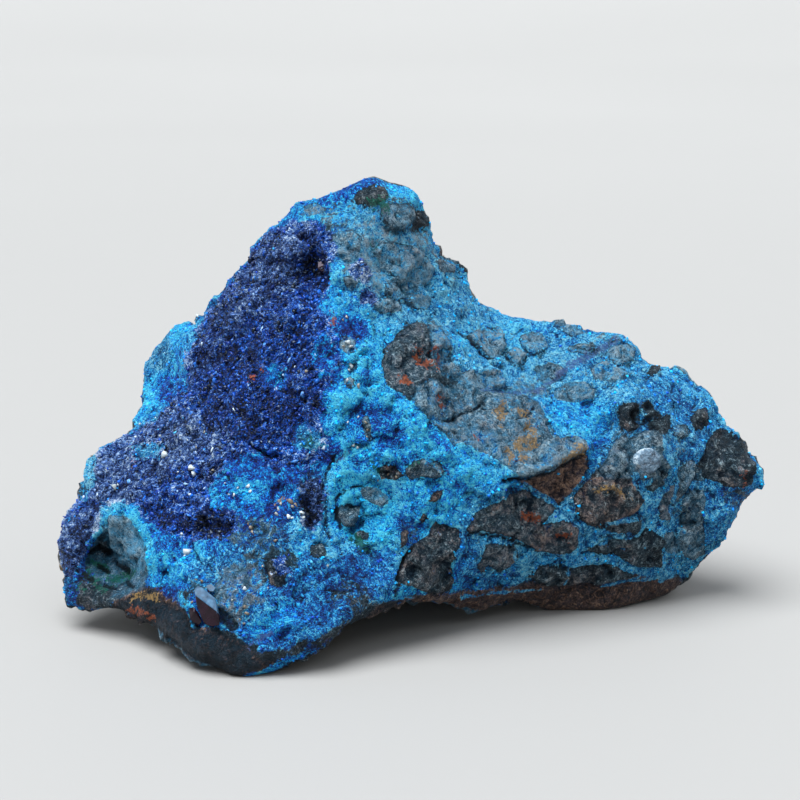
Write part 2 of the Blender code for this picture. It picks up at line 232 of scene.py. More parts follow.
# Each wash is (share of blue, depth of blue, tone of stone, soft edge in mm, outline).
WASHES = {
    "peak and arm": (0.48, 0.12, 0.92, 1.2, (
        (280, 225), (296, 205), (345, 188), (372, 172), (420, 190), (432, 240), (470, 288), (500, 316),
        (560, 320), (640, 350), (690, 385), (690, 410), (640, 400), (540, 400), (445, 365), (400, 330),
        (345, 320), (330, 290), (335, 250), (320, 222))),
    "skyline band": (0.88, 0.62, 0.60, 0.6, (
        (284, 226), (290, 204), (330, 188), (356, 174), (384, 172), (393, 186), (376, 188), (357, 194),
        (345, 202), (328, 203), (312, 212), (292, 224))),
    "skyline left": (0.60, 0.36, 0.72, 0.6, (
        (286, 222), (300, 204), (330, 203), (346, 206), (320, 215), (300, 222))),
    "peak right edge": (0.97, 0.20, 0.60, 0.5, (
        (388, 186), (404, 180), (422, 190), (424, 208), (412, 206), (402, 198), (392, 196))),
    "peak flank": (0.66, 0.24, 0.66, 1.0, (
        (335, 212), (362, 205), (384, 222), (372, 236), (362, 228), (345, 226), (336, 236))),
    "saddle": (0.80, 0.24, 0.72, 1.4, (
        (400, 288), (440, 262), (462, 270), (482, 300), (500, 314), (545, 316), (520, 332), (470, 328),
        (440, 322), (405, 320))),
    "arm top": (0.70, 0.14, 0.94, 1.4, (
        (445, 325), (500, 318), (580, 328), (600, 345), (560, 372), (520, 392), (470, 372), (446, 352))),
    "arm right": (0.72, 0.22, 0.90, 1.0, (
        (580, 360), (640, 345), (664, 366), (640, 380), (620, 400), (560, 402), (545, 385))),
    "grey face": (0.34, 0.24, 0.74, 1.0, (
        (400, 325), (440, 330), (450, 365), (505, 372), (545, 392), (548, 424), (588, 442), (586, 456),
        (560, 470), (510, 480), (480, 455), (445, 446), (412, 410), (390, 392), (378, 365), (384, 340))),
    "ridge band top": (0.97, 0.22, 0.60, 0.8, (
        (322, 310), (326, 292), (334, 285), (333, 252), (340, 262), (343, 285), (362, 306), (352, 322),
        (334, 316))),
    "ridge band": (0.98, 0.15, 0.60, 0.8, (
        (345, 300), (380, 312), (398, 318), (400, 335), (388, 345), (380, 360), (382, 378), (392, 392),
        (366, 396), (346, 388), (342, 360), (352, 340), (344, 318))),
    "ridge band bright": (1.00, 0.14, 0.60, 0.5, ((372, 318), (396, 314), (398, 336), (376, 336))),
    "upper blue": (0.98, 0.22, 0.55, 1.0, (
        (336, 385), (362, 390), (400, 398), (418, 424), (412, 452), (390, 462), (352, 458), (334, 444),
        (330, 412))),
    "blue left of ridge": (1.00, 0.36, 0.55, 0.8, (
        (328, 392), (345, 388), (352, 402), (346, 424), (332, 440), (326, 415))),
    "ridge lower": (1.00, 0.22, 0.55, 0.7, (
        (378, 388), (400, 393), (420, 418), (446, 442), (478, 452), (500, 462), (518, 478), (500, 484),
        (462, 478), (436, 462), (410, 446), (396, 424), (380, 405))),
    "ridge lower rim": (1.00, 0.22, 0.55, 0.4, (
        (396, 392), (410, 404), (430, 426), (455, 446), (482, 452), (505, 464), (518, 478), (506, 479),
        (480, 461), (450, 454), (424, 434), (406, 412))),
    "royal streak": (1.00, 0.66, 0.50, 0.4, (
        (416, 432), (432, 436), (448, 446), (452, 456), (436, 452), (418, 442))),
    "royal under ridge": (1.00, 0.56, 0.50, 0.8, (
        (440, 462), (470, 472), (480, 488), (462, 506), (446, 506), (440, 486))),
    "bright patch": (0.98, 0.24, 0.70, 0.8, (
        (536, 398), (560, 402), (600, 398), (618, 405), (616, 430), (604, 448), (598, 466), (588, 476),
        (590, 452), (580, 438), (556, 436), (545, 420))),
    "bright patch end": (0.55, 0.40, 0.50, 0.5, (
        (588, 440), (606, 440), (600, 466), (588, 488), (580, 490), (588, 466))),
    "right bright": (1.00, 0.26, 0.60, 0.6, ((616, 384), (640, 378), (642, 402), (620, 404))),
    "right blue": (0.93, 0.42, 0.55, 0.9, (
        (642, 378), (680, 372), (700, 386), (714, 400), (712, 425), (704, 450), (690, 458), (672, 470),
        (668, 490), (650, 500), (640, 495), (664, 470), (668, 440), (676, 412), (650, 402))),
    "grey by the round crystal": (0.34, 0.34, 0.60, 0.8, (
        (604, 416), (622, 404), (648, 400), (668, 416), (672, 440), (668, 470), (650, 474), (640, 484),
        (646, 504), (630, 520), (600, 530), (574, 520), (570, 496), (590, 478), (606, 456), (612, 436))),
    "vein by the round crystal": (0.97, 0.34, 0.40, 0.4, (
        (636, 472), (650, 482), (660, 478), (668, 462), (674, 470), (672, 488), (658, 494), (660, 512),
        (650, 524), (640, 520), (644, 500), (636, 486))),
    "slate right of the crystal": (0.52, 0.36, 0.80, 0.9, (
        (668, 420), (690, 416), (704, 430), (700, 456), (690, 470), (704, 488), (704, 550), (676, 556),
        (660, 530), (664, 500), (676, 480), (672, 450))),
    "right deep blue": (0.97, 0.50, 0.50, 0.8, ((658, 388), (684, 384), (690, 404), (676, 412), (658, 402))),
    "right rim": (0.98, 0.26, 0.65, 0.5, (
        (660, 366), (682, 368), (686, 384), (708, 388), (718, 408), (726, 430), (738, 430), (743, 442),
        (730, 441), (714, 430), (704, 412), (690, 400), (676, 386))),
    "tip blue": (0.94, 0.42, 0.50, 0.5, (
        (704, 489), (711, 489), (740, 488), (756, 480), (763, 476), (764, 490), (744, 506), (731, 524),
        (722, 546), (704, 556), (702, 522))),
    "tip end": (1.00, 0.20, 0.60, 0.4, ((752, 466), (764, 470), (764, 484), (752, 482))),
    "lower right": (0.80, 0.20, 0.50, 1.0, (
        (440, 500), (480, 486), (560, 500), (640, 500), (704, 545), (690, 575), (640, 572), (560, 566),
        (500, 588), (440, 600), (396, 592), (396, 556), (410, 530), (430, 520))),
    "vein knot": (0.80, 0.46, 0.30, 0.4, (
        (456, 528), (470, 534), (482, 540), (478, 560), (486, 574), (504, 570), (518, 560), (520, 576),
        (500, 588), (470, 590), (454, 590), (450, 576), (455, 556))),
    "over the clasts": (0.90, 0.46, 0.45, 0.6, (
        (452, 512), (472, 500), (500, 486), (525, 482), (520, 488), (492, 492), (474, 506), (464, 528))),
    "middle": (0.94, 0.18, 0.55, 1.0, (
        (322, 470), (345, 462), (370, 466), (400, 474), (440, 478), (470, 500), (458, 524), (430, 520),
        (404, 540), (396, 570), (400, 596), (370, 606), (330, 600), (300, 585), (296, 560), (310, 530),
        (322, 500))),
    "ring": (1.00, 0.12, 0.60, 0.6, (
        (326, 482), (345, 470), (366, 472), (392, 486), (400, 500), (396, 560), (380, 562), (350, 556),
        (330, 540), (322, 510))),
    "middle low": (0.97, 0.60, 0.50, 0.9, (
        (325, 560), (350, 556), (380, 566), (396, 575), (392, 592), (360, 600), (325, 590))),
    "middle right": (0.90, 0.26, 0.55, 0.8, (
        (400, 486), (440, 480), (462, 492), (452, 516), (430, 518), (408, 534), (398, 520))),
    "foot front": (0.88, 0.54, 0.50, 1.2, (
        (150, 555), (200, 545), (250, 560), (300, 545), (340, 580), (380, 600), (372, 618), (330, 640),
        (290, 656), (250, 652), (225, 630), (200, 618), (180, 600), (160, 580))),
    "foot bright": (1.00, 0.40, 0.48, 0.8, (
        (240, 632), (262, 622), (285, 600), (300, 606), (290, 628), (262, 640))),
    # These three washes darken the stone at the foot, where it lies in shade: painted shade.
    "foot low": (0.30, 0.62, 0.26, 0.8, (
        (238, 650), (262, 650), (285, 645), (330, 632), (345, 640), (290, 668), (250, 676), (228, 664))),
    "foot step": (0.08, 0.60, 0.24, 0.5, (
        (314, 645), (324, 634), (340, 622), (358, 607), (384, 600), (398, 602), (376, 614), (372, 624),
        (340, 640), (316, 654))),
    "foot dark": (-0.02, 0.60, 0.20, 0.7, (
        (206, 628), (232, 632), (248, 645), (280, 650), (268, 664), (245, 662), (222, 650))),
    "speckled grey": (0.32, 0.50, 0.66, 0.7, (
        (218, 576), (240, 562), (262, 575), (270, 600), (262, 618), (244, 628), (222, 622), (216, 600))),
    "grey brown": (0.32, 0.40, 0.42, 0.7, (
        (240, 560), (262, 545), (290, 548), (300, 560), (292, 580), (280, 590), (262, 585), (250, 575))),
    "left blue": (1.00, 0.52, 0.50, 1.2, (
        (136, 500), (180, 492), (200, 500), (200, 540), (230, 545), (228, 562), (200, 572), (180, 585),
        (160, 575), (146, 545))),
    "velvet blue": (1.00, 0.68, 0.50, 1.0, (
        (214, 478), (240, 466), (272, 462), (282, 480), (276, 500), (262, 520), (246, 512), (226, 500))),
    "velvet bright": (1.00, 0.26, 0.50, 0.8, (
        (226, 484), (250, 478), (272, 480), (272, 500), (262, 512), (244, 502))),
    "back lobe": (0.97, 0.22, 0.75, 0.8, (
        (132, 425), (140, 395), (146, 358), (172, 330), (200, 318), (204, 335), (192, 350), (188, 372),
        (170, 400), (152, 416))),
    "back lobe dusk": (0.80, 0.40, 0.62, 0.8, (
        (176, 345), (200, 330), (192, 352), (188, 372), (172, 395), (166, 380))),
    # The two underside washes darken the stone under the lump as painted shade, on stone that is also
    # brownish there.
    "underside": (-0.18, 0.70, -0.34, 0.8, (
        (118, 600), (140, 588), (166, 588), (180, 604), (196, 628), (240, 642), (262, 662), (300, 664),
        (240, 690), (160, 640), (110, 612))),
    "right underside": (-0.08, 0.55, 0.28, 1.0, (
        (376, 606), (420, 594), (460, 592), (500, 586), (530, 582), (560, 576), (640, 574), (680, 578),
        (690, 600), (600, 620), (540, 616), (480, 612), (360, 630))),
    "swirls by the glassy crystal": (0.36, 0.40, 0.60, 0.8, (
        (222, 566), (246, 560), (262, 572), (266, 600), (254, 626), (238, 628), (226, 612), (218, 596),
        (216, 578))),
    "dark streaks": (1.00, 0.80, 0.40, 0.7, NAVY_SLOT),
    "slate below the ring": (0.75, 0.52, 0.45, 0.6, (
        (329, 541), (345, 540), (352, 548), (350, 558), (336, 560))),
    "royal foot": (0.84, 0.56, 0.50, 1.2, (
        (262, 590), (300, 566), (330, 566), (344, 590), (330, 606), (290, 612))),
    "royal left of ring": (1.00, 0.70, 0.40, 1.0, (
        (262, 500), (284, 470), (300, 456), (318, 466), (306, 486), (300, 512), (280, 540), (262, 528))),
    "cavity": (0.12, 0.50, 0.52, 0.4, (
        (108, 520), (122, 516), (136, 526), (146, 548), (148, 575), (140, 592), (118, 600), (92, 600),
        (78, 582), (84, 556), (98, 538))),
    "cavity slate": (0.06, 0.30, 0.64, 0.4, LOBE_WALL),
    "cavity black": (0.06, 0.60, 0.30, 0.5, ((98, 541), (106, 536), (114, 548), (108, 555), (99, 552))),
    "cavity indigo": (0.55, 0.92, 0.15, 0.6, (
        (66, 568), (82, 562), (92, 576), (94, 600), (78, 606), (68, 596))),
    "druse top": (1.00, 0.70, 0.45, 1.2, (
        (285, 222), (318, 220), (335, 250), (332, 290), (300, 330), (240, 350), (200, 340), (215, 300),
        (256, 236))),
    "druse middle": (1.00, 0.82, 0.30, 1.2, (
        (200, 340), (240, 350), (300, 320), (326, 320), (338, 372), (322, 410), (300, 440), (250, 445),
        (210, 430), (186, 390))),
    "druse royal right": (1.00, 0.60, 0.30, 0.8, (
        (314, 325), (332, 330), (340, 352), (338, 380), (326, 392), (314, 378), (310, 350))),
    "druse low": (1.00, 0.48, 0.45, 1.2, (
        (97, 452), (135, 432), (166, 408), (190, 400), (240, 448), (226, 472), (205, 492), (140, 500),
        (96, 488))),
    "druse lower edge": (1.00, 0.68, 0.40, 0.8, (
        (136, 492), (170, 486), (204, 490), (208, 506), (180, 514), (146, 512))),
    "druse dark low": (1.00, 1.00, 0.24, 0.8, (
        (150, 512), (206, 506), (240, 514), (238, 536), (200, 544), (166, 534))),
    "indigo lobe": (1.00, 0.80, 0.30, 0.8, INDIGO_LOBE),
    "druse blue middle": (1.00, 0.50, 0.50, 0.8, (
        (264, 352), (282, 346), (290, 362), (286, 384), (272, 390), (262, 376))),
    "druse pale patch": (1.00, 0.34, 0.50, 0.8, (
        (118, 440), (148, 434), (168, 442), (158, 458), (132, 462), (114, 456))),
    "druse grey patch": (0.85, 0.48, 0.60, 0.9, ((98, 462), (124, 462), (142, 474), (132, 492), (102, 490))),
    "druse pale right": (1.00, 0.42, 0.50, 0.9, ((176, 426), (204, 424), (216, 440), (202, 452), (180, 450))),
    "druse blue low": (1.00, 0.66, 0.50, 0.9, ((176, 498), (200, 494), (212, 506), (196, 518), (178, 514))),
    "druse dark left": (1.00, 0.92, 0.50, 0.9, ((206, 400), (232, 398), (236, 424), (212, 432), (202, 418))),
    "royal above the velvet": (1.00, 0.70, 0.40, 1.0, (
        (224, 456), (238, 446), (262, 450), (292, 462), (284, 474), (250, 478), (228, 472))),
    "royal by the ridge": (1.00, 0.44, 0.40, 0.8, (
        (300, 420), (320, 416), (332, 432), (330, 456), (312, 470), (298, 462), (306, 444))),
    "teal in the druse": (0.92, 0.42, 0.50, 0.5, TEAL_GAP),
    "left bright": (1.00, 0.26, 0.50, 0.9, (
        (158, 550), (180, 540), (206, 544), (212, 562), (196, 576), (176, 574), (160, 568))),
    "left dusk": (0.50, 0.72, 0.35, 0.9, (
        (156, 588), (180, 586), (198, 589), (194, 602), (178, 607), (162, 602))),
    "royal under the lobe": (1.00, 0.56, 0.40, 0.8, (
        (150, 538), (176, 530), (208, 534), (214, 542), (186, 546), (160, 552))),
    "ridge dusk": (1.00, 0.84, 0.40, 0.8, (
        (330, 330), (342, 320), (362, 322), (370, 333), (362, 343), (350, 349), (336, 349))),
    "ridge royal": (1.00, 0.62, 0.40, 0.5, ((361, 372), (368, 370), (373, 380), (370, 389), (362, 386))),
    "blue under the peak": (0.95, 0.40, 0.60, 0.7, (
        (342, 287), (358, 284), (374, 290), (376, 310), (346, 312))),
    "below the ring": (0.80, 0.56, 0.50, 0.7, (
        (346, 552), (366, 546), (392, 550), (396, 566), (372, 574), (350, 568))),
    # Darker stone under the middle, where the lump's underside is in shade: painted shade.
    "painted shade under the middle": (0.50, 0.62, 0.35, 0.8, (
        (330, 584), (350, 578), (374, 586), (374, 604), (348, 620), (328, 612))),
    "dusk under the velvet": (0.45, 0.66, 0.52, 0.8, (
        (222, 514), (246, 518), (266, 516), (290, 522), (292, 544), (262, 548), (236, 548), (222, 540))),
    "back lobe top": (0.80, 0.42, 0.66, 0.8, BACK_LOBE_TOP),
    "cavity floor": (0.10, 0.50, 0.30, 0.5, (
        (80, 580), (100, 584), (114, 594), (108, 608), (88, 610), (76, 600))),
    "royal centre": (1.00, 0.56, 0.40, 0.9, (
        (354, 402), (380, 402), (400, 422), (408, 442), (384, 450), (356, 444), (348, 426))),
    "cyan by the ridge": (1.00, 0.11, 0.50, 0.6, (
        (332, 394), (352, 390), (372, 391), (396, 396), (408, 408), (392, 406), (368, 400), (352, 404),
        (343, 424), (332, 424))),
    "ridge foot": (1.00, 0.90, 0.40, 0.7, ((322, 446), (340, 444), (352, 452), (338, 462), (324, 462))),
    "lobe shoulder": (1.00, 0.50, 0.40, 0.8, (
        (64, 520), (72, 510), (90, 502), (98, 510), (84, 524), (70, 530))),
    "druse dusk": (1.00, 0.68, 0.40, 0.9, (
        (160, 466), (196, 462), (220, 470), (212, 486), (180, 486), (160, 480))),
    "lobe foot": (0.95, 0.70, 0.50, 0.8, ((160, 376), (184, 374), (186, 398), (168, 408), (158, 398))),
    "grey under the lobe": (0.66, 0.46, 0.72, 0.7, (
        (190, 566), (214, 564), (222, 580), (206, 592), (190, 586))),
    "foot dusk": (0.85, 0.66, 0.30, 0.8, ((262, 640), (290, 630), (300, 640), (280, 652), (256, 654))),
    "arm crust": (0.90, 0.22, 0.90, 0.9, (
        (440, 338), (470, 352), (500, 362), (522, 372), (504, 386), (468, 370), (450, 362))),
    "arm edge": (0.82, 0.34, 0.80, 0.8, ((530, 322), (572, 324), (590, 334), (570, 350), (540, 348))),
    "tip dusk": (0.50, 0.56, 0.45, 0.6, ((720, 488), (750, 486), (750, 500), (736, 508), (722, 502))),
    # Paler blue on the saddle, partly its own bright crust and partly painted light where its relief turns
    # from the lamp.
    "saddle bright, partly painted light": (1.00, 0.08, 0.80, 0.7, (
        (424, 284), (440, 282), (452, 290), (452, 306), (438, 304), (424, 298))),
    "ring bright": (1.00, 0.07, 0.50, 0.6, (
        (336, 474), (356, 468), (384, 474), (394, 490), (372, 482), (352, 482), (338, 488))),
    "druse dark middle": (1.00, 0.94, 0.40, 0.9, (
        (220, 400), (252, 402), (254, 436), (232, 438), (220, 426))),
    "foot royal end": (1.00, 0.36, 0.40, 0.8, ((246, 610), (268, 606), (276, 622), (258, 636), (244, 630))),
    "left bright low": (1.00, 0.30, 0.50, 0.8, ((162, 566), (184, 566), (190, 578), (176, 586), (162, 582))),
    "foot rim": (0.90, 0.38, 0.40, 0.5, (
        (236, 675), (262, 667), (290, 658), (322, 646), (332, 650), (300, 666), (262, 677), (244, 684))),
    "peak grey": (0.36, 0.12, 1.12, 1.0, (
        (342, 232), (380, 212), (412, 228), (430, 262), (430, 284), (400, 300), (374, 296), (354, 262),
        (340, 250))),
    "peak left": (0.40, 0.44, 0.42, 0.8, ((322, 222), (344, 222), (348, 238), (338, 262), (328, 262))),
    "grey shoulder": (0.30, 0.24, 1.00, 0.8, ((418, 338), (446, 334), (450, 362), (424, 366))),
    "grey by the low clast": (0.50, 0.56, 0.56, 0.8, ((398, 518), (422, 520), (420, 544), (402, 550))),
    # Paler blue at the vein junction, partly the vein's own colour and partly painted light lifting a shaded
    # crevice between fragments.
    "vein junction, partly painted light": (1.00, 0.06, 0.70, 0.6, (
        (566, 520), (580, 517), (602, 528), (608, 540), (596, 548), (576, 546))),
}

FAR = -6.0  # in mm; nothing on the card is measured farther outside than this
NEARBY = 40  # in card squares; outlines are only measured this near
# How broad the patterns are on the sides that the survey misses.
BLUE_SPREAD, DEPTH_SPREAD, STONE_SPREAD, DUST_SPREAD = 15 * MM, 12 * MM, 10 * MM, 11 * MM


def near_to(route):
    """The seen corners near a route on the card. Every other corner is far outside it."""
    low, high = route.min(0) - NEARBY, route.max(0) + NEARBY
    return np.flatnonzero(((spots > low) & (spots < high)).all(1) & (surveyed > 0))


def gap_to(here, start, end):
    """How far places on the card are from a straight line between two of its squares."""
    along = end - start
    reach = here - start
    share = np.clip(reach @ along / max(along @ along, 1e-9), 0, 1)
    return np.linalg.norm(reach - share[:, None] * along, axis=1)


def within(outline):
    """How far each corner lies inside an outline on the card, in mm. Outside is negative."""
    shape = np.array(outline, float)
    near = near_to(shape)
    here = spots[near]
    gap = np.full(len(near), 1e9)
    inside = np.zeros(len(near), bool)
    for start, end in zip(shape, np.roll(shape, -1, axis=0)):
        gap = np.minimum(gap, gap_to(here, start, end))
        if start[1] != end[1]:
            straddles = (start[1] > here[:, 1]) != (end[1] > here[:, 1])
            side = start[0] + (here[:, 1] - start[1]) / (end[1] - start[1]) * (end[0] - start[0])
            inside ^= straddles & (here[:, 0] < side)
    depth = np.full(len(spots), FAR)
    depth[near] = np.where(inside, gap, -gap) * CARD_SQUARE / MM
    return np.maximum(depth, FAR)


def blend(a, b, share):
    """From a to b by a share of 0 to 1."""
    return a + (b - a) * share


# How far each corner faces down. There the stone is darkened towards black as painted shade of the underside,
# and the blue is thinned.
hidden_low = ease(-0.15, -0.55, even_facings[:, 2])
share_of_blue = 0.60 + 0.55 * rough_waves(rock_points, BLUE_SPREAD, 3, 3)
share_of_blue = blend(np.clip(share_of_blue, 0.25, 1.0), 0.12, 0.85 * hidden_low)
depth_of_blue = 0.36 + 0.34 * rough_waves(rock_points, DEPTH_SPREAD, 9, 2)
tone_of_stone = blend(0.55 + 0.45 * rough_waves(rock_points, STONE_SPREAD, 15, 2), 0.2, hidden_low)
wild_tone = tone_of_stone.copy()

# On the survey, first as it is where no wash lies, then wash over wash.
share_of_blue = blend(share_of_blue, 0.78, surveyed)
depth_of_blue = blend(depth_of_blue, 0.40, surveyed)
tone_of_stone = blend(tone_of_stone, 0.50, surveyed)
for share, depth, tone, edge, outline in WASHES.values():
    cover = ease(-edge, edge, within(outline)) * surveyed
    share_of_blue = blend(share_of_blue, share, cover)
    depth_of_blue = blend(depth_of_blue, depth, cover)
    tone_of_stone = blend(tone_of_stone, tone, cover)

# Where the blue is greyed by clay. Each is (share of grey, soft edge in mm, outline).
DUSTY = (
    (0.60, 1.5, ((262, 236), (300, 222), (318, 230), (306, 262), (294, 296), (262, 304), (236, 296))),
    (0.55, 1.2, ((196, 420), (222, 426), (228, 446), (222, 478), (200, 486), (196, 452))),
    (0.60, 2.5, (
        (372, 190), (440, 250), (500, 312), (560, 318), (640, 345), (700, 385), (765, 470), (720, 560),
        (680, 600), (560, 612), (470, 590), (450, 540), (470, 500), (520, 480), (440, 420), (410, 340),
        (345, 300), (335, 230))),
    (0.15, 1.2, ((536, 398), (600, 398), (618, 405), (604, 448), (590, 470), (580, 438), (550, 434))),
    (0.30, 1.0, ((410, 340), (520, 318), (560, 330), (520, 350), (450, 350))),
    (0.45, 1.5, ((300, 470), (400, 480), (410, 560), (380, 610), (250, 670), (220, 620), (296, 560))),
    (0.05, 1.0, ((326, 482), (345, 470), (392, 486), (400, 500), (396, 548), (350, 545), (330, 530))),
    (0.75, 1.5, (
        (86, 456), (132, 432), (170, 408), (204, 420), (206, 452), (170, 472), (140, 500), (104, 506),
        (84, 500))),
    (0.55, 1.5, (
        (200, 322), (240, 272), (262, 262), (262, 300), (236, 340), (206, 372), (186, 386), (186, 350))),
    (0.80, 0.8, INDIGO_LOBE),
    (0.45, 1.2, ((200, 516), (236, 512), (240, 534), (220, 546), (200, 540))),
    (0.90, 0.8, BACK_LOBE_TOP),
    (0.60, 1.0, ((190, 566), (300, 516), (296, 548), (222, 584), (206, 592), (190, 586))),
    (0.05, 1.0, ((240, 632), (262, 618), (285, 598), (304, 606), (290, 632), (262, 642))),
    (0.70, 0.6, TEAL_GAP),
    (0.00, 0.8, RIDGE_GAP),
    (0.95, 0.8, NAVY_SLOT),
)
dusty = blend(np.clip(0.35 + 0.9 * rough_waves(rock_points, DUST_SPREAD, 23, 2), 0, 1), 0.10, surveyed)
for amount, edge, outline in DUSTY:
    dusty = blend(dusty, amount, ease(-edge, edge, within(outline)) * surveyed)


# ---------------------------------------------------------------------------------------------
# The druse. A crust of small navy crystals, thickest on the tall left face, where they grew into
# an open gap in the rock.

DRUSE_EDGE = (
    (300, 222), (318, 220), (331, 232), (335, 250), (333, 272), (328, 290), (316, 304), (328, 320),
    (339, 352), (338, 372), (326, 388), (322, 410), (316, 426), (300, 434), (296, 452), (280, 462),
    (262, 452), (236, 458), (222, 474), (210, 492), (214, 508), (236, 512), (240, 532), (225, 541),
    (195, 542), (170, 534), (150, 520), (138, 505), (118, 500), (104, 504), (99, 528), (84, 550), (76, 580),
    (60, 580), (54, 548), (60, 526), (84, 500), (96, 486), (97, 452), (135, 432), (150, 424), (166, 408),
    (188, 386), (186, 360), (194, 342), (201, 322), (240, 272), (254, 240), (272, 230), (288, 224),
)
DRUSE_PATCHES = (
    ((359, 292), (370, 288), (377, 298), (372, 308), (360, 304)),
    ((346, 264), (360, 260), (372, 270), (368, 282), (352, 280)),
    ((270, 560), (285, 556), (290, 572), (276, 578)),
    NAVY_SLOT,
    ((262, 446), (296, 452), (318, 428), (328, 440), (322, 462), (290, 470), (264, 462)),
)
DRUSE_GAPS = (
    TEAL_GAP,
    RIDGE_GAP,
    ((262, 370), (275, 365), (285, 372), (284, 384), (272, 388), (264, 382)),
    ((88, 448), (98, 446), (96, 474), (92, 488), (84, 486)),
    ((132, 450), (150, 444), (166, 446), (158, 456), (140, 460)),
    ((230, 484), (250, 478), (268, 482), (262, 505), (244, 506)),
)
PIT = ((303, 254), (310, 247), (326, 250), (332, 262), (332, 286), (324, 294), (308, 290), (302, 276))
DEEP = 3.0  # in mm; where a mineral's depth inside its outline stops counting
DRUSE_SPREAD = 17 * MM  # how broad its patches are on the sides that the survey misses


def most_within(outlines):
    """As within, for the deepest of several outlines."""
    depth = np.full(len(spots), FAR)
    for outline in outlines:
        depth = np.maximum(depth, within(outline))
    return depth


def capped(depth, top=DEEP):
    """Depths in mm, held between so far outside and so far inside."""
    return np.clip(depth, -DEEP, top)


druse = np.maximum(within(DRUSE_EDGE), most_within(DRUSE_PATCHES))
druse = np.minimum(druse, -most_within(DRUSE_GAPS))
pit = within(PIT)
wild_druse = 9.0 * (rough_waves(rock_points, DRUSE_SPREAD, 31, 3) - 0.16) - 3 * hidden_low
druse = blend(capped(wild_druse), capped(druse), surveyed)


# ---------------------------------------------------------------------------------------------
# Fragments of the host rock. Angular bits of dark ironstone and slate-grey rock, held apart by
# the blue. Each is (tone, brownness, outline on the card).

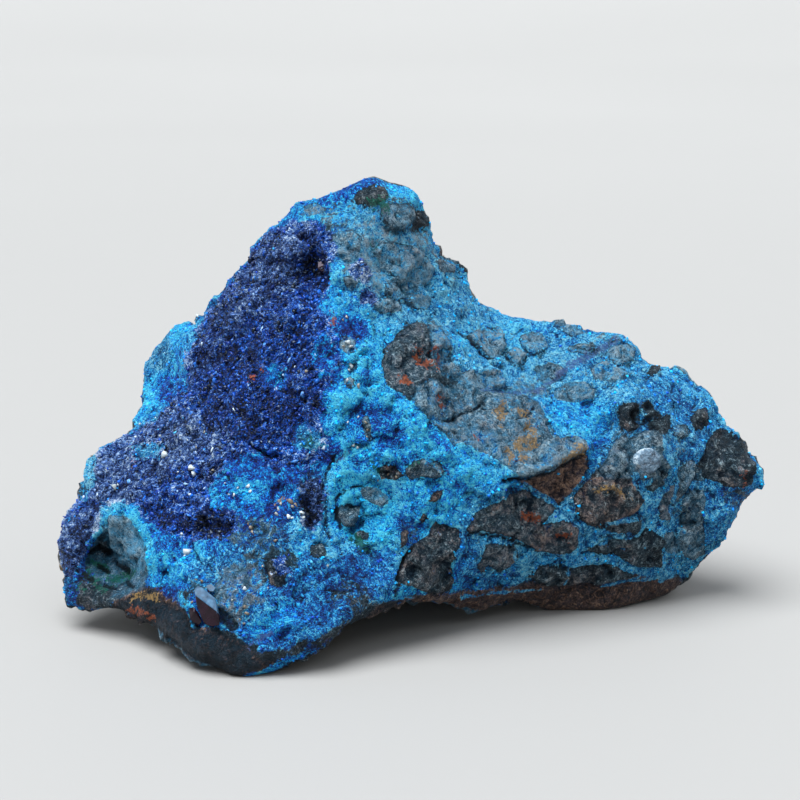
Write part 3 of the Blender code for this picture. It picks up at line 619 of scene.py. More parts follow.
FRAGMENTS = (
    (0.20, 0.20, (
        (356, 196), (361, 188), (372, 184), (384, 187), (388, 198), (380, 204), (368, 206), (357, 205))),
    (0.54, 0.00, (
        (380, 208), (392, 203), (405, 205), (414, 212), (412, 222), (404, 230), (390, 229), (381, 218))),
    (0.12, 0.10, ((383, 219), (398, 216), (401, 227), (390, 229))),
    (0.14, 0.10, ((412, 212), (425, 210), (424, 228), (413, 228))),
    (0.74, 0.00, ((303, 208), (318, 204), (326, 207), (322, 214), (308, 217))),
    (0.70, 0.10, (
        (333, 245), (340, 234), (350, 230), (359, 234), (360, 248), (355, 258), (345, 262), (336, 256))),
    (0.76, 0.10, (
        (371, 252), (380, 242), (396, 242), (412, 248), (425, 258), (431, 270), (428, 282), (415, 287),
        (400, 282), (386, 272))),
    (0.68, 0.20, ((385, 285), (400, 280), (415, 286), (412, 298), (395, 300), (384, 295))),
    (0.56, 0.10, ((372, 304), (388, 298), (400, 303), (398, 314), (382, 314), (373, 310))),
    (0.60, 0.10, ((343, 278), (355, 274), (358, 284), (350, 292), (343, 288))),
    (0.48, 0.00, ((434, 262), (442, 260), (453, 269), (450, 277), (437, 274))),
    (0.80, 0.00, ((404, 300), (418, 294), (430, 300), (426, 310), (410, 310))),
    (0.38, 0.25, (
        (402, 330), (414, 325), (424, 328), (427, 344), (430, 358), (440, 373), (454, 384), (440, 384),
        (428, 378), (418, 384), (410, 396), (398, 392), (386, 384), (381, 368), (383, 350), (392, 340))),
    (0.58, 0.15, (
        (414, 388), (430, 380), (445, 386), (470, 390), (490, 394), (520, 396), (538, 404), (546, 424),
        (560, 437), (580, 440), (587, 450), (570, 459), (540, 472), (518, 478), (505, 467), (490, 456),
        (470, 450), (452, 446), (440, 432), (425, 420), (412, 405))),
    (0.84, 0.05, ((456, 377), (470, 370), (488, 371), (500, 376), (504, 388), (480, 390), (466, 388))),
    (0.78, 0.00, (
        (466, 338), (474, 330), (488, 327), (500, 334), (506, 346), (500, 358), (490, 359), (478, 348))),
    (0.82, 0.00, ((505, 354), (515, 350), (526, 355), (524, 366), (512, 367))),
    (0.72, 0.00, ((520, 336), (532, 330), (545, 336), (548, 348), (536, 356), (522, 350))),
    (0.62, 0.00, ((534, 368), (546, 364), (558, 367), (568, 374), (556, 382), (548, 386), (538, 380))),
    (0.64, 0.00, ((553, 392), (566, 384), (585, 383), (597, 388), (594, 401), (574, 403), (558, 401))),
    (0.70, 0.00, ((590, 370), (604, 364), (620, 367), (630, 376), (614, 384), (594, 381))),
    (0.55, 0.10, ((566, 348), (583, 344), (596, 348), (585, 354), (570, 354))),
    (0.74, 0.00, ((607, 350), (622, 342), (632, 350), (632, 362), (618, 366), (608, 360))),
    (0.60, 0.00, ((552, 322), (572, 323), (586, 332), (572, 335), (558, 331))),
    (0.12, 0.10, ((644, 376), (650, 368), (660, 365), (661, 370), (654, 377))),
    (0.14, 0.20, (
        (619, 407), (629, 404), (634, 403), (640, 404), (638, 414), (634, 420), (640, 427), (630, 432),
        (620, 424))),
    (0.14, 0.00, ((642, 405), (648, 402), (654, 410), (660, 415), (652, 418), (643, 417))),
    (0.16, 0.20, ((648, 423), (658, 419), (672, 414), (668, 428), (661, 440), (652, 436))),
    (0.36, 0.10, (
        (663, 448), (671, 456), (668, 472), (658, 488), (650, 492), (642, 488), (656, 478), (663, 464))),
    (0.46, 0.25, (
        (626, 434), (613, 446), (605, 464), (593, 473), (600, 480), (618, 478), (634, 478), (628, 466),
        (630, 446))),
    (0.50, 0.20, (
        (630, 440), (644, 432), (660, 436), (670, 448), (668, 466), (656, 478), (640, 478), (630, 466),
        (627, 450))),
    (0.30, 0.42, (
        (581, 486), (594, 474), (612, 477), (634, 480), (638, 491), (643, 502), (636, 511), (620, 519),
        (603, 529), (586, 524), (575, 513), (573, 499))),
    (0.18, 0.10, ((694, 410), (704, 408), (708, 418), (702, 430), (694, 428), (690, 420))),
    (0.55, 0.10, ((672, 428), (684, 425), (690, 432), (682, 440), (672, 436))),
    (0.16, 0.15, (
        (711, 433), (717, 429), (729, 434), (742, 446), (754, 466), (752, 482), (740, 488), (726, 487),
        (714, 482), (701, 477), (696, 469), (702, 453))),
    (0.46, 0.10, (
        (678, 466), (690, 460), (700, 470), (702, 482), (690, 480), (684, 492), (676, 500), (674, 484))),
    (0.44, 0.35, ((657, 500), (664, 490), (672, 484), (678, 490), (672, 505), (666, 520), (658, 518))),
    (0.48, 0.10, (
        (680, 500), (690, 490), (703, 489), (704, 552), (696, 560), (684, 556), (676, 545), (680, 522))),
    (0.50, 0.10, ((662, 530), (674, 532), (678, 548), (670, 556), (662, 548))),
    (0.32, 0.30, (
        (435, 520), (445, 523), (457, 530), (459, 546), (453, 550), (455, 559), (450, 563), (451, 578),
        (450, 589), (435, 596), (418, 589), (397, 584), (402, 563), (408, 548), (430, 534))),
    (0.22, 0.30, ((400, 532), (408, 530), (407, 540), (400, 549))),
    (0.35, 0.30, (
        (465, 530), (473, 515), (486, 503), (506, 495), (526, 491), (539, 498), (557, 508), (552, 513),
        (539, 526), (529, 536), (513, 539), (499, 533), (483, 531), (470, 533))),
    (0.39, 0.35, (
        (479, 559), (484, 543), (513, 543), (518, 556), (503, 568), (496, 571), (488, 564), (481, 571),
        (476, 566))),
    (0.35, 0.35, (
        (517, 541), (539, 527), (562, 520), (577, 526), (579, 546), (561, 556), (539, 550), (529, 546))),
    (0.30, 0.95, (
        (518, 482), (536, 477), (556, 471), (585, 453), (587, 468), (581, 483), (567, 496), (560, 506),
        (546, 498), (529, 488))),
    (0.29, 0.15, ((607, 520), (622, 516), (643, 516), (641, 527), (632, 534), (607, 534))),
    (0.29, 0.15, (
        (583, 550), (600, 541), (613, 537), (636, 536), (646, 527), (664, 539), (659, 565), (636, 567),
        (626, 560), (613, 553))),
    (0.31, 0.20, (
        (524, 574), (539, 565), (556, 563), (562, 568), (600, 562), (618, 566), (634, 575), (600, 582),
        (540, 584))),
    (0.50, 0.00, ((335, 507), (345, 504), (360, 507), (358, 526), (344, 528), (337, 520))),
    (0.68, 0.10, (
        (359, 489), (366, 485), (378, 488), (388, 496), (390, 505), (380, 507), (368, 502), (360, 496))),
    (0.36, 0.00, ((356, 532), (364, 530), (371, 534), (369, 541), (358, 541))),
    (0.42, 0.10, (
        (404, 470), (412, 460), (424, 457), (438, 462), (446, 472), (438, 478), (420, 478), (408, 480))),
    (0.30, 0.40, ((376, 469), (388, 465), (397, 469), (404, 476), (394, 480), (382, 478))),
    (0.24, 0.50, ((428, 500), (436, 492), (443, 490), (440, 498), (432, 504))),
    (0.18, 0.50, ((420, 514), (426, 512), (429, 518), (424, 522), (420, 519))),
    (0.30, 0.10, ((310, 546), (322, 545), (325, 556), (315, 561), (309, 554))),
    (0.72, -0.60, LOBE_WALL),
    (0.16, 0.20, ((264, 562), (278, 560), (288, 572), (282, 588), (270, 584))),
    (0.55, 0.20, ((362, 420), (368, 416), (372, 430), (370, 442), (364, 438))),
    (0.74, 0.00, (
        (426, 326), (437, 328), (446, 344), (453, 362), (461, 377), (450, 375), (434, 358), (429, 344))),
    (1.30, 0.05, ((340, 339), (347, 336), (355, 341), (357, 351), (347, 355), (340, 350))),
    (1.35, 0.10, ((343, 379), (350, 375), (355, 382), (351, 390), (344, 388))),
    (1.20, 0.00, ((348, 366), (355, 363), (358, 369), (350, 371))),
)
FRAGMENT_SKIRT = 0.6  # in mm; how far outside its outline a fragment still tones the stone
BLOCK, SWAY = 9.5 * MM, 1.2 * MM  # the blocks on the sides that the survey misses, and their bends
HALF_SEAM = 0.45  # in mm; half the blue seam between two blocks


def pebbles(points, size, seed):
    """Splits space into cells: how far each point is from its own cell's seed and from the next
    nearest, which cell it is in, and where that cell's seed is."""
    spot = points / size
    cell = np.floor(spot).astype(np.int64)
    nearest, second = np.full((2, len(points)), 9.0)
    owner = np.zeros((len(points), 3), np.int64)
    middle = np.zeros((len(points), 3))
    for step in np.ndindex(3, 3, 3):
        near = cell + np.array(step) - 1
        seat = near + np.column_stack([shuffled(near, seed + axis) for axis in range(3)])
        gap = np.linalg.norm(seat - spot, axis=1)
        closer = gap < nearest
        second = np.where(closer, nearest, np.minimum(second, gap))
        nearest = np.where(closer, gap, nearest)
        owner[closer] = near[closer]
        middle[closer] = seat[closer]
    return nearest * size, second * size, owner, middle * size


fragment = np.full(len(rock_points), FAR)
brownness = np.full(len(rock_points), 0.2)
for tone, brown, outline in FRAGMENTS:
    depth = within(outline)
    claimed = (depth > fragment) & (depth > -FRAGMENT_SKIRT) & (surveyed > 0)
    fragment = np.maximum(fragment, depth)
    tone_of_stone[claimed] = blend(wild_tone, tone, surveyed)[claimed]
    brownness[claimed] = brown

low_stone = most_within((WASHES["underside"][4], WASHES["right underside"][4]))
swirls = within(WASHES["swirls by the glassy crystal"][4])
for brown, edge, place in ((1.0, 0.5, low_stone), (0.5, 0.6, swirls)):
    brownness = blend(brownness, brown, ease(-edge, edge, place) * (fragment < 0))

# Away from the survey, space is split into blocks of rock, most of which are fragments.
sway = SWAY * np.column_stack([rough_waves(rock_points, 4 * MM, seed, 2) for seed in (41, 45, 49)])
nearest, second, owner, _ = pebbles(rock_points + sway, BLOCK, 61)
is_fragment = shuffled(owner, 77) < blend(0.55, 0.95, hidden_low)
wild_fragment = np.where(is_fragment, (second - nearest) / 2 / MM - HALF_SEAM, -1.5)
fragment = blend(capped(wild_fragment), capped(fragment), surveyed)
hidden = surveyed < 0.5
tone_of_stone[hidden & is_fragment] = (0.12 + 0.55 * shuffled(owner, 78))[hidden & is_fragment]
brownness[hidden] = (0.7 * shuffled(owner, 79) ** 2)[hidden]
fragment = np.minimum(fragment, -druse + 0.3)


# ---------------------------------------------------------------------------------------------
# Veins, cracks and stains. Thin blue seams run between the fragments, with hairline cracks, rust
# and ochre on the stone, and green malachite in a few places. Each line is (width in card
# squares, path), and the blue veins are sorted by their depth of blue.

BLUE_VEINS = {
    0.30: (
        (9, ((582, 538), (596, 540), (606, 536))), (6, ((540, 560), (552, 556), (566, 556))),
        (5, ((612, 412), (616, 424), (612, 436))), (6, ((576, 551), (595, 539), (613, 535), (628, 535))),
        (7, ((574, 521), (586, 530), (598, 540))),
        (7, ((566, 562), (583, 557), (610, 557), (624, 562), (637, 571), (656, 571), (669, 564), (677, 552))),
        (5, ((520, 486), (536, 491), (550, 499), (561, 511))), (5, ((568, 498), (568, 512), (575, 522))),
        (5, ((575, 491), (582, 483), (589, 476))),
        (7, ((633, 474), (639, 489), (647, 500), (648, 511), (643, 516))),
        (9, ((664, 440), (664, 456), (670, 468), (663, 489), (652, 496))),
        (3, ((660, 530), (672, 527), (682, 530))), (4, ((674, 470), (676, 490), (668, 510), (672, 524))),
        (6, ((676, 552), (664, 558), (668, 572), (660, 580))), (3, ((638, 404), (642, 416), (640, 430))),
        (8, ((472, 503), (496, 489), (516, 484))), (3, ((460, 598), (500, 592), (540, 590))),
        (4, ((600, 586), (625, 580), (650, 578), (664, 574))), (3, ((561, 583), (563, 576), (566, 570))),
        (4, ((636, 516), (622, 519), (606, 525))),
    ),
    0.10: (
        (7, (
            (99, 530), (101, 519), (106, 513), (114, 509), (124, 511), (133, 518), (142, 532), (149, 550),
            (151, 568))),
    ),
    0.22: (
        (5, ((184, 596), (190, 610), (193, 626))), (5, ((450, 364), (466, 368), (483, 371), (500, 373))),
        (4, ((91, 450), (88, 466), (89, 484))), (5, ((337, 278), (336, 292), (334, 306))),
        (4, ((336, 216), (318, 216), (304, 224), (290, 236))), (3, ((348, 242), (362, 250), (370, 262))),
        (6, ((296, 524), (294, 536), (296, 552))), (5, ((294, 546), (302, 547), (309, 543), (318, 536))),
        (9, ((332, 488), (330, 500), (329, 512), (331, 526), (336, 540))),
        (4, ((454, 446), (484, 456), (504, 470), (514, 478))),
    ),
    0.15: (
        (5, ((404, 424), (420, 438), (436, 452), (452, 466), (470, 480))),
        (3, ((446, 482), (462, 472), (482, 464))), (2.5, ((412, 446), (428, 458), (442, 474), (446, 484))),
        (3, ((308, 457), (316, 449), (323, 444))), (3, ((520, 543), (512, 556), (520, 560))),
        (3, ((600, 530), (590, 536), (582, 532))), (3, ((336, 460), (352, 452), (366, 448))),
    ),
    0.50: (
        (2.4, ((440, 416), (446, 406), (452, 400), (461, 393))),
    ),
}
VIOLET = (
    (8, ((614, 341), (599, 351), (582, 359), (569, 368), (557, 378))),
    (5, ((557, 378), (546, 386), (536, 392))), (3, ((480, 391), (500, 393), (520, 393), (539, 390))),
    (6, ((270, 634), (258, 640), (250, 646))), (5, ((334, 464), (340, 458), (347, 452))),
    (4, ((430, 466), (445, 470), (452, 478))),
)
PALE_CRACKS = (
    (1.8, ((478, 409), (486, 402), (493, 397))), (1.8, ((536, 399), (540, 404), (545, 411))),
    (2.2, ((537, 459), (541, 452), (547, 446), (552, 441), (559, 438))),
    (1.4, ((440, 534), (446, 545), (452, 552))),
)
DARK_CRACKS = (
    (2, ((442, 422), (452, 419), (462, 414), (471, 412), (480, 404))),
    (2, ((460, 332), (472, 342), (482, 354), (492, 360))),
    (2, ((333, 512), (335, 500), (343, 491), (354, 487), (364, 486))),
    (4, ((335, 508), (336, 518), (341, 528))), (2.5, ((514, 424), (524, 420), (533, 409))),
    (2, ((332, 466), (338, 460), (346, 453))), (1.5, ((250, 444), (262, 452), (276, 458), (292, 460))),
    (3, ((504, 480), (530, 478), (556, 471), (580, 456))), (3, ((334, 455), (326, 470), (322, 488))),
    (3, ((395, 596), (398, 580), (404, 560), (412, 545))), (1.6, ((330, 590), (342, 593), (352, 592))),
    (2, ((327, 488), (324, 510), (328, 540))), (5, ((92, 552), (100, 548), (109, 554))),
    (4, ((98, 566), (108, 573))), (5, ((116, 562), (125, 570))), (4, ((104, 584), (116, 588))),
    (4, ((84, 574), (92, 582))), (4, ((126, 580), (132, 586))), (3, ((76, 566), (80, 578))),
    (12, ((220, 614), (228, 620), (233, 626))), (4, ((190, 612), (193, 620), (197, 627))),
    (3, ((466, 532), (480, 533), (498, 536), (514, 541), (530, 548))),
    (3, ((636, 404), (634, 414), (636, 424))),
)
RUST = (
    (7, ((415, 358), (420, 364), (426, 367))), (4, ((430, 351), (436, 354), (440, 361))),
    (5, ((430, 364), (436, 369))), (4, ((413, 350), (418, 353))), (9, ((402, 378), (405, 383))),
    (6, ((436, 398), (439, 406))), (6, ((333, 317), (334, 324))), (5, ((251, 376), (252, 381))),
    (4, ((262, 368), (264, 372))), (10, ((524, 515), (533, 518))), (8, ((556, 536), (566, 535))),
    (4, ((744, 474), (744, 484))), (8, ((132, 610), (142, 612), (152, 616))), (4, ((135, 466), (136, 467))),
    (5, ((474, 437), (478, 440))),
)
OCHRE = (
    (8, ((494, 412), (499, 408), (503, 415), (498, 420), (494, 414))),
    (8, ((517, 415), (524, 414), (522, 420))),
    (9, ((518, 443), (530, 439), (534, 446), (526, 452), (517, 448))),
    (6, ((506, 452), (510, 455), (508, 462))), (6, ((524, 430), (532, 434))), (4, ((498, 428), (502, 430))),
    (6, ((560, 464), (570, 457), (580, 452))), (5, ((519, 462), (526, 461))),
    (6, ((131, 597), (144, 594), (156, 597))), (4, ((278, 503), (284, 500))),
    (5, ((596, 492), (612, 486), (624, 494))), (3, ((572, 452), (582, 447))),
)
GREEN = (
    (11, ((372, 203), (380, 203), (384, 208))), (5, ((372, 244), (374, 246))), (12, ((356, 541), (362, 548))),
    (8, ((364, 546), (368, 550))), (6, ((411, 464), (417, 464))), (8, ((304, 444), (310, 440))),
    (7, ((94, 562), (104, 568))), (7, ((110, 580), (122, 575), (134, 572))), (5, ((76, 586), (84, 590))),
    (5, ((86, 572), (90, 580))), (6, ((380, 470), (372, 464))), (7, ((88, 578), (104, 590))),
)


def along_line(width, path):
    """How far each corner lies inside a line on the card, in mm. Outside is negative."""
    route = np.array(path, float)
    near = near_to(route)
    here = spots[near]
    gap = np.full(len(near), 1e9)
    for start, end in zip(route[:-1], route[1:]):
        gap = np.minimum(gap, gap_to(here, start, end))
    depth = np.full(len(spots), FAR)
    depth[near] = (width / 2 - gap) * CARD_SQUARE / MM
    return np.maximum(depth, FAR)


def most_along(lines):
    """As along_line, for the deepest of several lines, each given as (width, path)."""
    depth = np.full(len(spots), FAR)
    for width, path in lines:
        depth = np.maximum(depth, along_line(width, path))
    return depth


vein = np.full(len(rock_points), FAR)
for depth_here, lines in BLUE_VEINS.items():
    here = most_along(lines)
    claimed = (here > vein) & (here > -0.5)
    depth_of_blue[claimed] = depth_here
    vein = np.maximum(vein, here)
vein = blend(-DEEP, capped(vein), surveyed)


def wild_spots(size, seed, rarity):
    """Spots about size mm across for the sides that the survey misses."""
    return capped(8 * (rough_waves(rock_points, size * MM, seed, 3) - rarity), 1)


violet, pale_crack, dark_crack, rust, ochre, green = (
    blend(elsewhere, capped(most_along(lines)), surveyed) for lines, elsewhere in (
        (VIOLET, -DEEP), (PALE_CRACKS, -DEEP), (DARK_CRACKS, -DEEP), (RUST, wild_spots(8, 51, 0.52)),
        (OCHRE, wild_spots(6, 55, 0.56)), (GREEN, wild_spots(7, 58, 0.58))))


# ---------------------------------------------------------------------------------------------
# The relief. Stone breaks into flat chips, the blue crust is lumpy, the druse grows in knobs, and
# the fragments stand a little proud of the softer blue between them.

LEDGE = (10, ((505, 474), (525, 474), (545, 467), (565, 458), (585, 446)))
UNDER_LEDGE = (16, ((512, 488), (536, 485), (558, 479), (580, 466)))
RINGS = (6, (
    (333, 550), (328, 530), (327, 510), (330, 492), (340, 478), (354, 472), (372, 474), (388, 482),
    (398, 494)))
CAVITY = (
    (88, 544), (100, 532), (113, 548), (122, 558), (130, 572), (124, 584), (108, 590), (92, 584), (85, 564))
HOLLOWS = (
    (10, ((305, 500), (312, 520))), (16, ((206, 524), (226, 530))), (10, ((256, 528), (262, 532))),
    (12, ((270, 572), (282, 582))), (6, ((184, 580), (185, 581))), (4, ((386, 474), (378, 472))),
    (5, ((250, 446), (280, 458))), (8, ((362, 522), (354, 528))),
)
# In mm: how far these stand up, how far those sink, and how far single corners stray.
VEIN_RISE, LEDGE_RISE, RING_RISE = 0.12, 0.45, 0.22
CRACK_SINK, PIT_SINK, UNDER_LEDGE_SINK, HOLLOW_SINK, CAVITY_SINK = 0.45, 0.55, 0.80, 0.9, 0.15
GRIT, DRUSE_GRIT = 0.03, 0.06
FIRST_LIFT, ALL_LIFT = 0.2, 2.4  # in mm above the floor, where the relief begins and is full
TOP_EASES, TOP = 59.0, 61.0  # in mm; the relief all but ends at the lump's highest point
SETTLING = 0.22  # in mm; how far the lump sinks on its feet as their relief wears flat


def waves_at(size, seed, layers):
    """Rough waves over the rock, from their size in mm."""
    return rough_waves(rock_points, size * MM, seed, layers)


def knobs(size, seed):
    """Rounded knobs over the rock, from their size in mm: 0 in the furrows and 1 on the tops."""
    size *= MM
    nearest = pebbles(rock_points, size, seed)[0]
    return np.clip(1 - (nearest / (0.75 * size)) ** 2, 0, 1)


def flat_breaks(size, steepness, seed, most):
    """Flat, tilted breaks over the rock, in mm and no higher or lower than the most."""
    _, _, owner, middle = pebbles(rock_points, size * MM, seed)
    tilt = np.column_stack([shuffled(owner, seed + 20 + axis) for axis in range(3)]) * 2 - 1
    return np.clip(((rock_points - middle) * tilt).sum(1) * steepness / MM, -most, most)


# The lift of each corner along the way it faces, in mm.
stone = ease(-0.3, 0.3, fragment)
crystals = ease(-0.5, 0.6, druse) * (1 - stone)
velvet = ease(-0.6, 0.6, within(INDIGO_LOBE)) * surveyed
in_cavity = ease(-0.6, 0.8, within(CAVITY))
lift = 0.35 * waves_at(7, 101, 2)
lift += stone * (0.40 + flat_breaks(4.2, 0.28, 103, 0.5) + flat_breaks(1.8, 0.32, 104, 0.3))
lift += (1 - stone) * (1 - crystals) * (0.35 + 0.65 * share_of_blue) * (
    0.50 * waves_at(2.6, 107, 3) + 0.34 * knobs(1.7, 109) + 0.34 * knobs(3.9, 108)
    + flat_breaks(3.6, 0.22, 110, 0.4) - 0.12)
lift += crystals * (1 - 0.7 * velvet) * (
    0.75 * knobs(3.3, 113) + 0.42 * knobs(1.2, 115) + 0.3 * waves_at(2.2, 117, 2) - 0.40)
lift += VEIN_RISE * ease(-0.3, 0.2, vein)
lift -= CRACK_SINK * ease(-0.25, 0.2, dark_crack) + PIT_SINK * ease(-0.2, 1.0, pit)
lift += LEDGE_RISE * ease(-0.4, 0.5, along_line(*LEDGE))
lift -= UNDER_LEDGE_SINK * ease(-0.5, 0.7, along_line(*UNDER_LEDGE))
lift += RING_RISE * ease(-0.5, 0.4, along_line(*RINGS))
lift -= HOLLOW_SINK * ease(-0.5, 0.6, most_along(HOLLOWS))
lift += in_cavity * (0.9 * waves_at(1.5, 131, 2) - CAVITY_SINK)
lift += 0.14 * waves_at(0.9, 121, 2)
height_now = rock_points[:, 2] / MM
off_floor = ease(FIRST_LIFT, ALL_LIFT, height_now) * (1 - 0.85 * ease(TOP_EASES, TOP, height_now))

chance = np.random.default_rng(20)
moved = rock_points + even_facings * (lift * off_floor * MM)[:, None]
grit = blend(GRIT, DRUSE_GRIT, crystals) * off_floor * MM
moved += chance.normal(0, 1, moved.shape) * grit[:, None]
sink = SETTLING * MM * (1 - ease(0.0, 3.0, height_now))
moved[:, 2] = np.maximum(moved[:, 2] - sink, 0.0)


def crests(steps, full):
    """How far each corner stands above (up to 1) or below (down to -1) the rock around it."""
    return np.clip(((moved - evened(moved, steps)) * even_facings).sum(1) / (full * MM), -1, 1)


def add_layer(mesh, name, values):
    """Gives a mesh one more value at each corner, for its finish to read."""
    layer = mesh.attributes.new(name, "FLOAT", "POINT")
    layer.data.foreach_set("value", values.astype(np.float32))


# What the finish needs to know of each corner.
# crest and broad_crest also make the finish lighter on crests and darker in hollow places: painted light and
# shade.
crest, broad_crest = crests(4, 0.22), crests(26, 0.75)
fragment_blue = 0.02 + 0.28 * ease(0.30, 0.70, tone_of_stone) * (brownness > -0.1)
dust = 0.04 + 0.40 * ease(0.25, 0.75, tone_of_stone)
rock.vertices.foreach_set("co", moved.astype(np.float32).ravel())
rock.update()
for name, values in {
    "blue_share": share_of_blue, "blue_depth": depth_of_blue, "stone_tone": tone_of_stone,
    "brownness": brownness, "fragment_blue": fragment_blue, "dust": dust, "dusty": dusty, "crest": crest,
    "broad_crest": broad_crest, "fragment": fragment, "vein": vein, "druse": druse,
    "pit": blend(-DEEP, pit, surveyed), "rust": rust, "ochre": ochre, "green": green, "violet": violet,
    "pale_crack": pale_crack, "dark_crack": dark_crack,
}.items():
    add_layer(rock, name, values)
first_corners = numbers_of(rock.loops, "vertex_index", 1, np.int32).ravel()[
    numbers_of(rock.polygons, "loop_start", 1, np.int32).ravel()]
rock.polygons.foreach_set("use_smooth", crystals[first_corners] < 0.5)


# ---------------------------------------------------------------------------------------------
# The rock's finish: dull dark stone, powdery blue crust, navy crystals too small to stand alone,
# and stains, each with its own colour, gloss and grain. Crests are painted lighter and hollow places darker,
# as painted light and shade.


def tint(code):
    """A colour as light, from its usual six-figure code."""
    parts = [int(code[place:place + 2], 16) / 255 for place in (1, 3, 5)]
    return tuple(p / 12.92 if p <= 0.04045 else ((p + 0.055) / 1.055) ** 2.4 for p in parts) + (1.0,)


class Finish:
    """A material put together from nodes. Sizes and depths are in mm."""

    def __init__(self, name):
        self.material = bpy.data.materials.new(name)
        self.material.use_nodes = True
        self.tree = self.material.node_tree
        self.shader = self.tree.nodes["Principled BSDF"]
        self.place = self.tree.nodes.new("ShaderNodeTexCoord").outputs["Object"]

    def join(self, value, socket):
        """Links a socket to another, or sets it to a number."""
        if isinstance(value, bpy.types.NodeSocket):
            self.tree.links.new(value, socket)
        else:
            socket.default_value = value

    def node(self, kind, inputs, **settings):
        made = self.tree.nodes.new("ShaderNode" + kind)
        for name, value in settings.items():
            setattr(made, name, value)
        for name, value in inputs.items():
            self.join(value, made.inputs[name])
        return made

    def field(self, name):
        """A value that the mesh carries at its corners."""
        return self.node("Attribute", {}, attribute_name=name).outputs["Fac"]

    def sum(self, operation, a, b=0.0, c=0.0):
        """One step of arithmetic."""
        return self.node("Math", {0: a, 1: b, 2: c}, operation=operation).outputs[0]

    def step(self, value, low, high, start=0.0, end=1.0):
        """Goes smoothly from start at low to end at high."""
        return self.node("MapRange", {
            "Value": value, "From Min": low, "From Max": high, "To Min": start, "To Max": end},
            interpolation_type="SMOOTHSTEP").outputs[0]

    def noise(self, size, detail, roughness, warp=0.0):
        """Noise about 0, mostly from -0.5 to 0.5."""
        raw = self.node("TexNoise", {"Vector": self.place, "Scale": 1 / (size * MM), "Detail": detail,
                                     "Roughness": roughness, "Distortion": warp}).outputs["Fac"]
        return self.sum("MULTIPLY_ADD", raw, 2.6, -1.3)

    def add(self, *parts):
        """Adds sockets, numbers, and (socket, amount) pairs."""
        total = None
        for part in parts:
            if isinstance(part, tuple):
                total = self.sum("MULTIPLY_ADD", part[0], part[1], 0.0 if total is None else total)
            else:
                total = part if total is None else self.sum("ADD", total, part)
        return total

    def cells(self, size):
        """A random colour for each of many small cells."""
        return self.node("TexVoronoi", {"Vector": self.place, "Scale": 1 / (size * MM)}).outputs["Color"]

    def mix(self, share, a, b):
        return self.node("Mix", {"Factor": share, "A": a, "B": b}).outputs[0]

    def ramp(self, value, stops):
        """A colour from a scale of (value, colour) stops."""
        made = self.node("ValToRGB", {"Fac": value})
        marks = made.color_ramp.elements
        while len(marks) < len(stops):
            marks.new(0.5)
        for mark, (spot, code) in zip(marks, stops):
            mark.position = spot
            mark.color = tint(code)
        return made.outputs["Color"]

    def cover(self, share, under, over):
        """One colour laid over another by a share of 0 to 1."""
        mix = self.tree.nodes.new("ShaderNodeMix")
        mix.data_type = "RGBA"
        self.join(share, mix.inputs["Factor"])
        for slot, value in (("A", under), ("B", over)):
            socket = [s for s in mix.inputs if s.name == slot and s.type == "RGBA"][0]
            self.join(tint(value) if isinstance(value, str) else value, socket)
        return [s for s in mix.outputs if s.type == "RGBA"][0]

    def dress(self, colour, roughness, height, depth, strength, mirror=None, sheen=None):
        """Joins the shader up: its colour, its roughness, a bump of a depth in mm, and how it mirrors."""
        self.join(colour, self.shader.inputs["Base Color"])
        self.join(roughness, self.shader.inputs["Roughness"])
        if mirror:
            self.shader.inputs["IOR"].default_value = mirror
        if sheen:
            self.shader.inputs["Specular Tint"].default_value = sheen + (1.0,)
        bump = self.node("Bump", {"Height": height, "Distance": depth * MM, "Strength": strength})
        self.join(bump.outputs["Normal"], self.shader.inputs["Normal"])
        return self.material


STONE_TONES = ((0.0, "#06080a"), (0.20, "#131618"), (0.40, "#24292c"), (0.58, "#3c474d"), (0.78, "#5d727b"),
               (1.0, "#a6b9c1"))
EARTH_TONES = ((0.0, "#090706"), (0.25, "#1c1614"), (0.50, "#3d3532"), (0.75, "#6b615c"), (1.0, "#a39c96"))
BROWN_TONES = ((0.0, "#0c0705"), (0.35, "#35231a"), (0.65, "#644533"), (1.0, "#a8856b"))
BLUE_TONES = ((0.0, "#50dcff"), (0.09, "#14ccff"), (0.22, "#05b9ff"), (0.36, "#029af8"), (0.50, "#0870e0"),
              (0.64, "#0a48c0"), (0.80, "#0a2c94"), (1.0, "#06124e"))
DUSTY_TONES = ((0.0, "#a2d6ea"), (0.12, "#62bce0"), (0.26, "#36a4d6"), (0.42, "#1c82b8"), (0.60, "#105c90"),
               (0.80, "#093862"), (1.0, "#051c38"))
DRUSE_TONES = ((0.0, "#02040e"), (0.22, "#071746"), (0.40, "#0b2e84"), (0.58, "#1355bc"), (0.74, "#2e76c8"),
               (0.86, "#74a0cc"), (1.0, "#cfe2f0"))
SLATE_TONES = ((0.0, "#04060e"), (0.25, "#0e1836"), (0.42, "#1f3468"), (0.60, "#395a94"), (0.78, "#5f80ae"),
               (0.90, "#8098b8"), (1.0, "#aec0d2"))
MURK_AND_SHADE_TONES = ((0.25, "#0a3048"), (0.7, "#07123e"))
BLUE_DUST, HOLLOW_SHADE_COLOUR, JOINT_AND_SHADE_BLACK, CRACK_BLACK = "#3f9ccb", "#050e22", "#06090d", "#050609"

# (field, dark colour, light colour, how much of it, how ragged its edge)
STAINS = (
    ("violet", "#26386f", "#5a74b4", 0.72, 0.9), ("rust", "#3a1a0e", "#bc643c", 0.88, 1.0),
    ("ochre", "#4a3c28", "#bd9a60", 0.84, 1.1), ("green", "#06161a", "#1f7560", 0.88, 1.3),
    ("pale_crack", "#5d93ae", "#cfe6ee", 0.80, 0.25),
)


